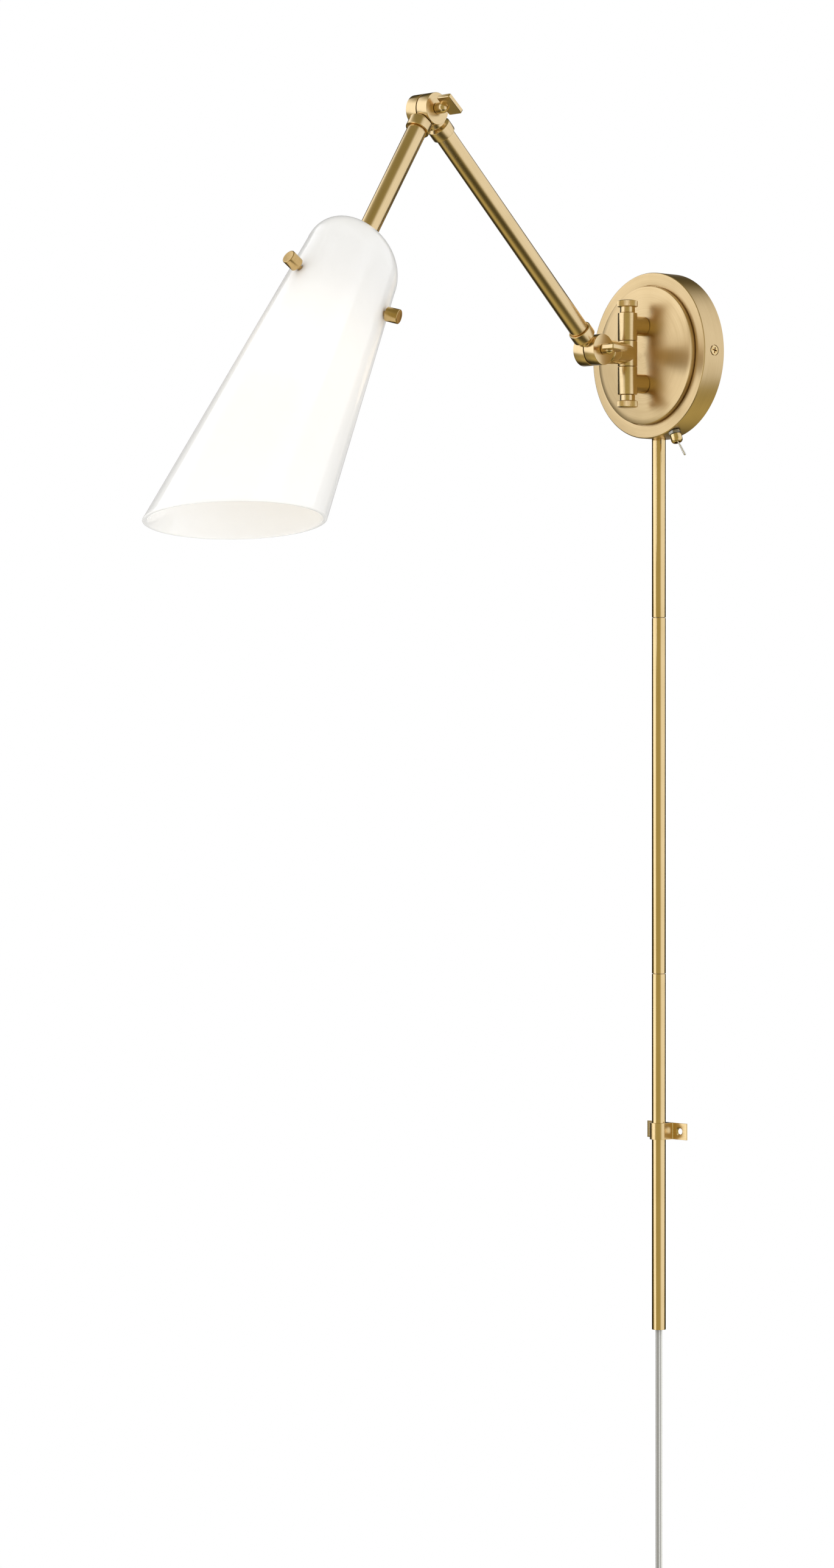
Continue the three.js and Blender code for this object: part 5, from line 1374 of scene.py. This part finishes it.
boss_ends = screw_start - BOSS_INSIDE, screw_start + BOSS_OUTSIDE
bosses = [rod("boss", SCREW_BOSS, *boss_ends, place, 40) for place in screws]
threads = [rod("thread", SCREW_THREAD, THREAD_START - SCREW_CENTRE, 0, place, 32) for place in screws]
dress(paint(carve(carve(fitter, bosses, "UNION"), threads), brass_upper), "shade_fitter")

# %% [markdown]
# The lampholder is a thick white cup that the bulb screws into. All its edges are soft, as a
# moulding's are, so one softened profile makes it.

# %% Lampholder
HOLDER_WALL = 2.0
HOLDER_SHOULDER = 10.0
HOLDER_NARROWING = 6.0
HOLDER_FLOOR = 4.0
HOLDER_EDGE = 0.8
low, high, radius = along("lampholder", UPPER_ARM)
shoulder = low + HOLDER_SHOULDER
holder_profile = [
    (ROD_BORE, low), (radius - HOLDER_NARROWING, low), (radius, shoulder), (radius, high),
    (radius - HOLDER_WALL, high), (radius - HOLDER_WALL, shoulder + HOLDER_FLOOR),
    (ROD_BORE, shoulder + HOLDER_FLOOR),
]
holder = lathe("lampholder_thermoset", soften(holder_profile, HOLDER_EDGE), UPPER_ARM)
dress(paint(holder, white_thermoset), "lampholder")

# %% [markdown]
# A frosted globe bulb: a sphere of thin glass that flows into a neck, and an aluminium screw
# base. A ball and a tube joined by a Boolean would leave a crease where the real glass flows,
# so the profile itself blends from one to the other. The thread is a wave on the base's radius.

# %% Bulb
GLOBE_WALL = 1.0
GLOBE_SWEEP = 148
BULB_NECK = 12.5
low, high, radius = along("bulb_globe", UPPER_ARM)


def globe_profile(inset):
    """A sphere that flows into a neck: the end of the sphere's sweep is blended to the neck's
    radius by a smooth step."""
    angle = np.radians(90 - GLOBE_SWEEP * np.linspace(0, 1, 48))
    r, z = (radius - inset) * np.cos(angle), high - radius + (radius - inset) * np.sin(angle)
    r[0] = 0
    neck_z = np.linspace(z[-1], low, 14)[1:]
    neck_r = r[-1] + (BULB_NECK - inset - r[-1]) * smooth_step((z[-1] - neck_z) / (z[-1] - low))
    return np.column_stack([chain(r, neck_r), chain(z, neck_z)])


globe = chain(globe_profile(0), globe_profile(GLOBE_WALL)[::-1])
dress(paint(lathe("bulb_globe_glass", globe, UPPER_ARM), frosted_bulb), "bulb_globe", crease=60)

THREAD_TURNS = 4
THREAD_DEPTH = 0.5
CONTACT_RADIUS = 3.6
BASE_SHOULDER = 2.2
BASE_THREAD_START = 5.2
low, high, radius = along("bulb_base", UPPER_ARM)
s = np.linspace(0, 1, 60)
thread = radius - THREAD_DEPTH + THREAD_DEPTH * np.sin(2 * np.pi * THREAD_TURNS * s)
inner = radius - BASE_SHOULDER
base_profile = chain(
    [(0, low), (CONTACT_RADIUS, low), (CONTACT_RADIUS + 0.2, low + 0.6), (inner, low + 5)],
    np.column_stack([thread, low + BASE_THREAD_START + (high - low - BASE_THREAD_START) * s]),
    [(inner, high), (inner, low + BASE_THREAD_START + 1), (0, low + BASE_THREAD_START + 1)],
)
bulb_base = lathe("bulb_base_aluminium", base_profile, UPPER_ARM, 72)
dress(paint(bulb_base, rolled_aluminium), "bulb_base", crease=50)

# %% [markdown]
# ## Toggle switch
# A small toggle in the canopy's rim: a hexagonal nut, a round dress nut with a domed end and a
# slim chromed lever with a ball at its foot. The lever's direction is read from the frame, so
# that it starts where the joint expects it.

# %% Toggle switch
HEX_EDGE = 0.5
NUT_BEVEL = 0.3
NUT_MOUTH = 2.7
NUT_DOME = 2.4
start, end, reach_nut = along("switch_lock_nut", SWITCH)
hexagon = arc(0, 0, reach_nut, 30, 390, 6)[:-1]
nut = prism("switch_hex_nut", soften(hexagon, HEX_EDGE, 3), start, end, SWITCH, NUT_BEVEL)
nut_bore = rod("bore", SWITCH_BORE, start - 1, end + 1, SWITCH, 48)
dress(paint(carve(nut, [nut_bore]), zinc_steel), "switch_lock_nut")

start, end, radius = along("switch_dress_nut", SWITCH)
dome = end - NUT_DOME
nut_profile = chain(
    [(SWITCH_BORE, start), (radius - NUT_BEVEL, start), (radius, start + NUT_BEVEL), (radius, dome)],
    arc(0, 0, 1, 10, 90, 8) * (radius - NUT_MOUTH, NUT_DOME) + (NUT_MOUTH, dome),
    [(NUT_MOUTH, dome + 0.6), (SWITCH_BORE, dome + 0.6)],
)
dress_nut = lathe("switch_dress_nut_brass", nut_profile, SWITCH, 72)
dress(paint(dress_nut, bright_brass), "switch_dress_nut", crease=40)

LEVER_NECK = [(0.62, 2.2), (0.7, 5)]
LEVER_TIP = 0.95
lever_cloud = corners("toggle_lever")
farthest = np.argsort(np.linalg.norm(lever_cloud - switch_point, axis=1))[-8:]
LEVER = stand(switch_point, lever_cloud[farthest].mean(axis=0) - switch_point)
start, end, _ = along("toggle_lever", LEVER)
lever_profile = chain(
    arc(0, 0, -start, -90, 62, 16),
    [*LEVER_NECK, (LEVER_TIP, end - 2)],
    arc(0, end - LEVER_TIP, LEVER_TIP, 0, 90, 8),
)
lever_profile[0, 0] = lever_profile[-1, 0] = 0
dress(paint(lathe("toggle_lever_chrome", lever_profile, LEVER, 48), chrome), "toggle_lever", crease=60)

# %% [markdown]
# ## Parts that stay as the frame made them
# Flat or hidden parts need no finer surface: the wall bracket, the screws and nuts inside the
# canopy, the washers and the threaded rod. Drawing them again would add nothing that shows, so
# they only get their materials.

# %% Kept parts
KEPT = {
    zinc_steel: [
        "wall_bracket", "upper_post_screw", "lower_post_screw", "hinge_pin", "switch_body",
        "conduit_coupler_1", "conduit_coupler_2", "conduit_nut", "fitter_threaded_rod", "fitter_lock_nut",
    ],
    vulcan_fibre: ["lower_friction_washer", "elbow_friction_washer"],
    brass_upper: ["tube_end_plug"],
}
for material, nodes in KEPT.items():
    for node in nodes:
        paint(frame["nodes"][node], material)
print("kept", sum(len(nodes) for nodes in KEPT.values()), "nodes of the frame")

# %% [markdown]
# ## Studio
# Brass shows its room, so the room matters as much as the metal. Two large soft boxes stand to
# the left and the right of the camera, and lean back over the lamp. What lies between them is
# dim: the camera's own side, the ceiling and the floor, whose near part is nearly black, and it
# is black behind the lamp, with one paler panel straight behind it. So a round bar shows a dim
# middle, two bright bands and fine black edges. Surfaces that aren't metal are lit evenly from
# the front and a little less from behind, so that the white glass keeps an outline on all sides,
# and the backdrop is white. Lamps and panels around the object would do the same, but they
# would need dozens of them for these soft edges; a world made of patches is one smooth dome.

# %% Studio directions
TO_CAMERA = Vector((np.sin(HEADING), -np.cos(HEADING), 0))
TO_RIGHT = Vector((np.cos(HEADING), np.sin(HEADING), 0))
LEAN_RIGHT, LEAN_LEFT = 1.015, 1.084
world = bpy.data.worlds.new("studio")
world.use_nodes = True
bpy.context.scene.world = world
studio = world.node_tree
studio.nodes.clear()
look = add(studio, "TexCoord", out="Generated")
right, up, front = (
    add(studio, "VectorMath", {0: look, 1: direction}, out="Value", operation="DOT_PRODUCT")
    for direction in (TO_RIGHT, Vector((0, 0, 1)), TO_CAMERA)
)
# Cosines that stay the same on a plane that leans back as it rises: front + slope * up.
behind_right, behind_left = (
    add(studio, "Math", {0: up, 1: slope, 2: front}, operation="MULTIPLY_ADD")
    for slope in (LEAN_RIGHT, LEAN_LEFT)
)


def patch(edges):
    """A part of the room with soft edges: the product of a smooth step 3t^2 - 2t^3 for each edge,
    which is given as a cosine, its value where the step is 0 and its value where it is 1."""
    share = 1.0
    for cosine, dark, bright in edges:
        ends = {"Value": cosine, "From Min": dark, "From Max": bright}
        step = add(studio, "MapRange", ends, interpolation_type="SMOOTHSTEP")
        share = add(studio, "Math", {0: share, 1: step}, operation="MULTIPLY")
    return share


# %% [markdown]
# The patches are laid over one another in order. The world answers three questions apart: what
# a reflection sees, which is this room; what lights a surface that isn't metal, which is even
# white; and what the camera sees behind the lamp, which is the white backdrop.

# %% Studio light
WHITE = np.array([1.0, 1.0, 1.0])
AMBER = np.array([1.0, 0.85, 0.38])
BLACK_SIDE = 0.022 * AMBER
# Light on what isn't metal, from behind and from the front.
EVEN = (1.08, 1.3)
# Each patch has its light and its edges. A later one lies over the earlier ones.
ROOM = {
    "camera side": (0.419 * AMBER, [(front, -0.7, 0.3)]),
    "floor": (0.56 * AMBER, [(up, -0.3, -0.9), (front, -0.6, -0.2)]),
    "back floor on the right": (0.62 * AMBER, [(up, -0.3, -0.9), (front, -0.95, -0.45), (right, -0.3, 0.2)]),
    "ceiling": (0.286 * AMBER, [(up, 0.3, 0.9), (front, -0.9, -0.2)]),
    "near floor": (0.065 * AMBER, [(up, -0.45, -0.85), (front, -0.1, 0.3)]),
    "panel behind": (0.4 * WHITE, [(front, -0.88, -0.97)]),
    "right soft box": (
        0.935 * WHITE,
        [(right, 0.283, 0.655), (up, -0.79, -0.5), (behind_right, -0.39, -0.34), (up, 0.97, 0.7),
         (front, 1.176, 0.904)],
    ),
    "left soft box": (
        1.25 * WHITE,
        [(right, -0.411, -0.461), (up, -0.87, -0.5), (behind_left, -0.26, -0.21), (up, 0.852, 0.553),
         (front, 0.648, 0.536)],
    ),
}
light = (*BLACK_SIDE.tolist(), 1.0)
for colour, edges in ROOM.values():
    layer = {0: patch(edges), 6: light, 7: (*colour.tolist(), 1.0)}
    light = add(studio, "Mix", layer, out=2, data_type="RGBA")
fall = {"Value": front, "From Min": -0.9, "From Max": -0.2, "To Min": EVEN[0], "To Max": EVEN[1]}
strength = add(studio, "MapRange", fall, interpolation_type="SMOOTHSTEP")
reflected = add(studio, "Background", {"Color": light})
even = add(studio, "Background", {"Color": linear("#FFFFFF"), "Strength": strength})
backdrop = add(studio, "Background", {"Color": linear("#FFFFFF"), "Strength": 1.0})
rays = add(studio, "LightPath").node.outputs
lit = add(studio, "MixShader", {0: rays["Is Diffuse Ray"], 1: reflected, 2: even})
seen = add(studio, "MixShader", {0: rays["Is Camera Ray"], 1: lit, 2: backdrop})
add(studio, "OutputWorld", {"Surface": seen})
print("studio of", len(ROOM), "patches of light")

# %% [markdown]
# A pale painted floor lies a quarter of a metre under the lamp, below what this camera sees. It
# gives other views a ground, and stays out of reflections, where the room has its own floor.

# %% Floor
FLOOR_DROP = 0.25
FLOOR_RADIUS = 1.6
floor_place = (np.array([0, 0, cad_box[0][2] - FLOOR_DROP]) / MM, np.eye(3))
studio_floor = rod("studio_floor", FLOOR_RADIUS / MM, -2, 0, floor_place, 96)
paint(studio_floor, plain("painted_floor", "#EDECE9", "#EAE9E6", (0.6, 0.7), 200, 0.02))
studio_floor.visible_glossy = False

bpy.context.scene.view_settings.view_transform = "Standard"
bpy.context.scene.view_settings.look = "None"
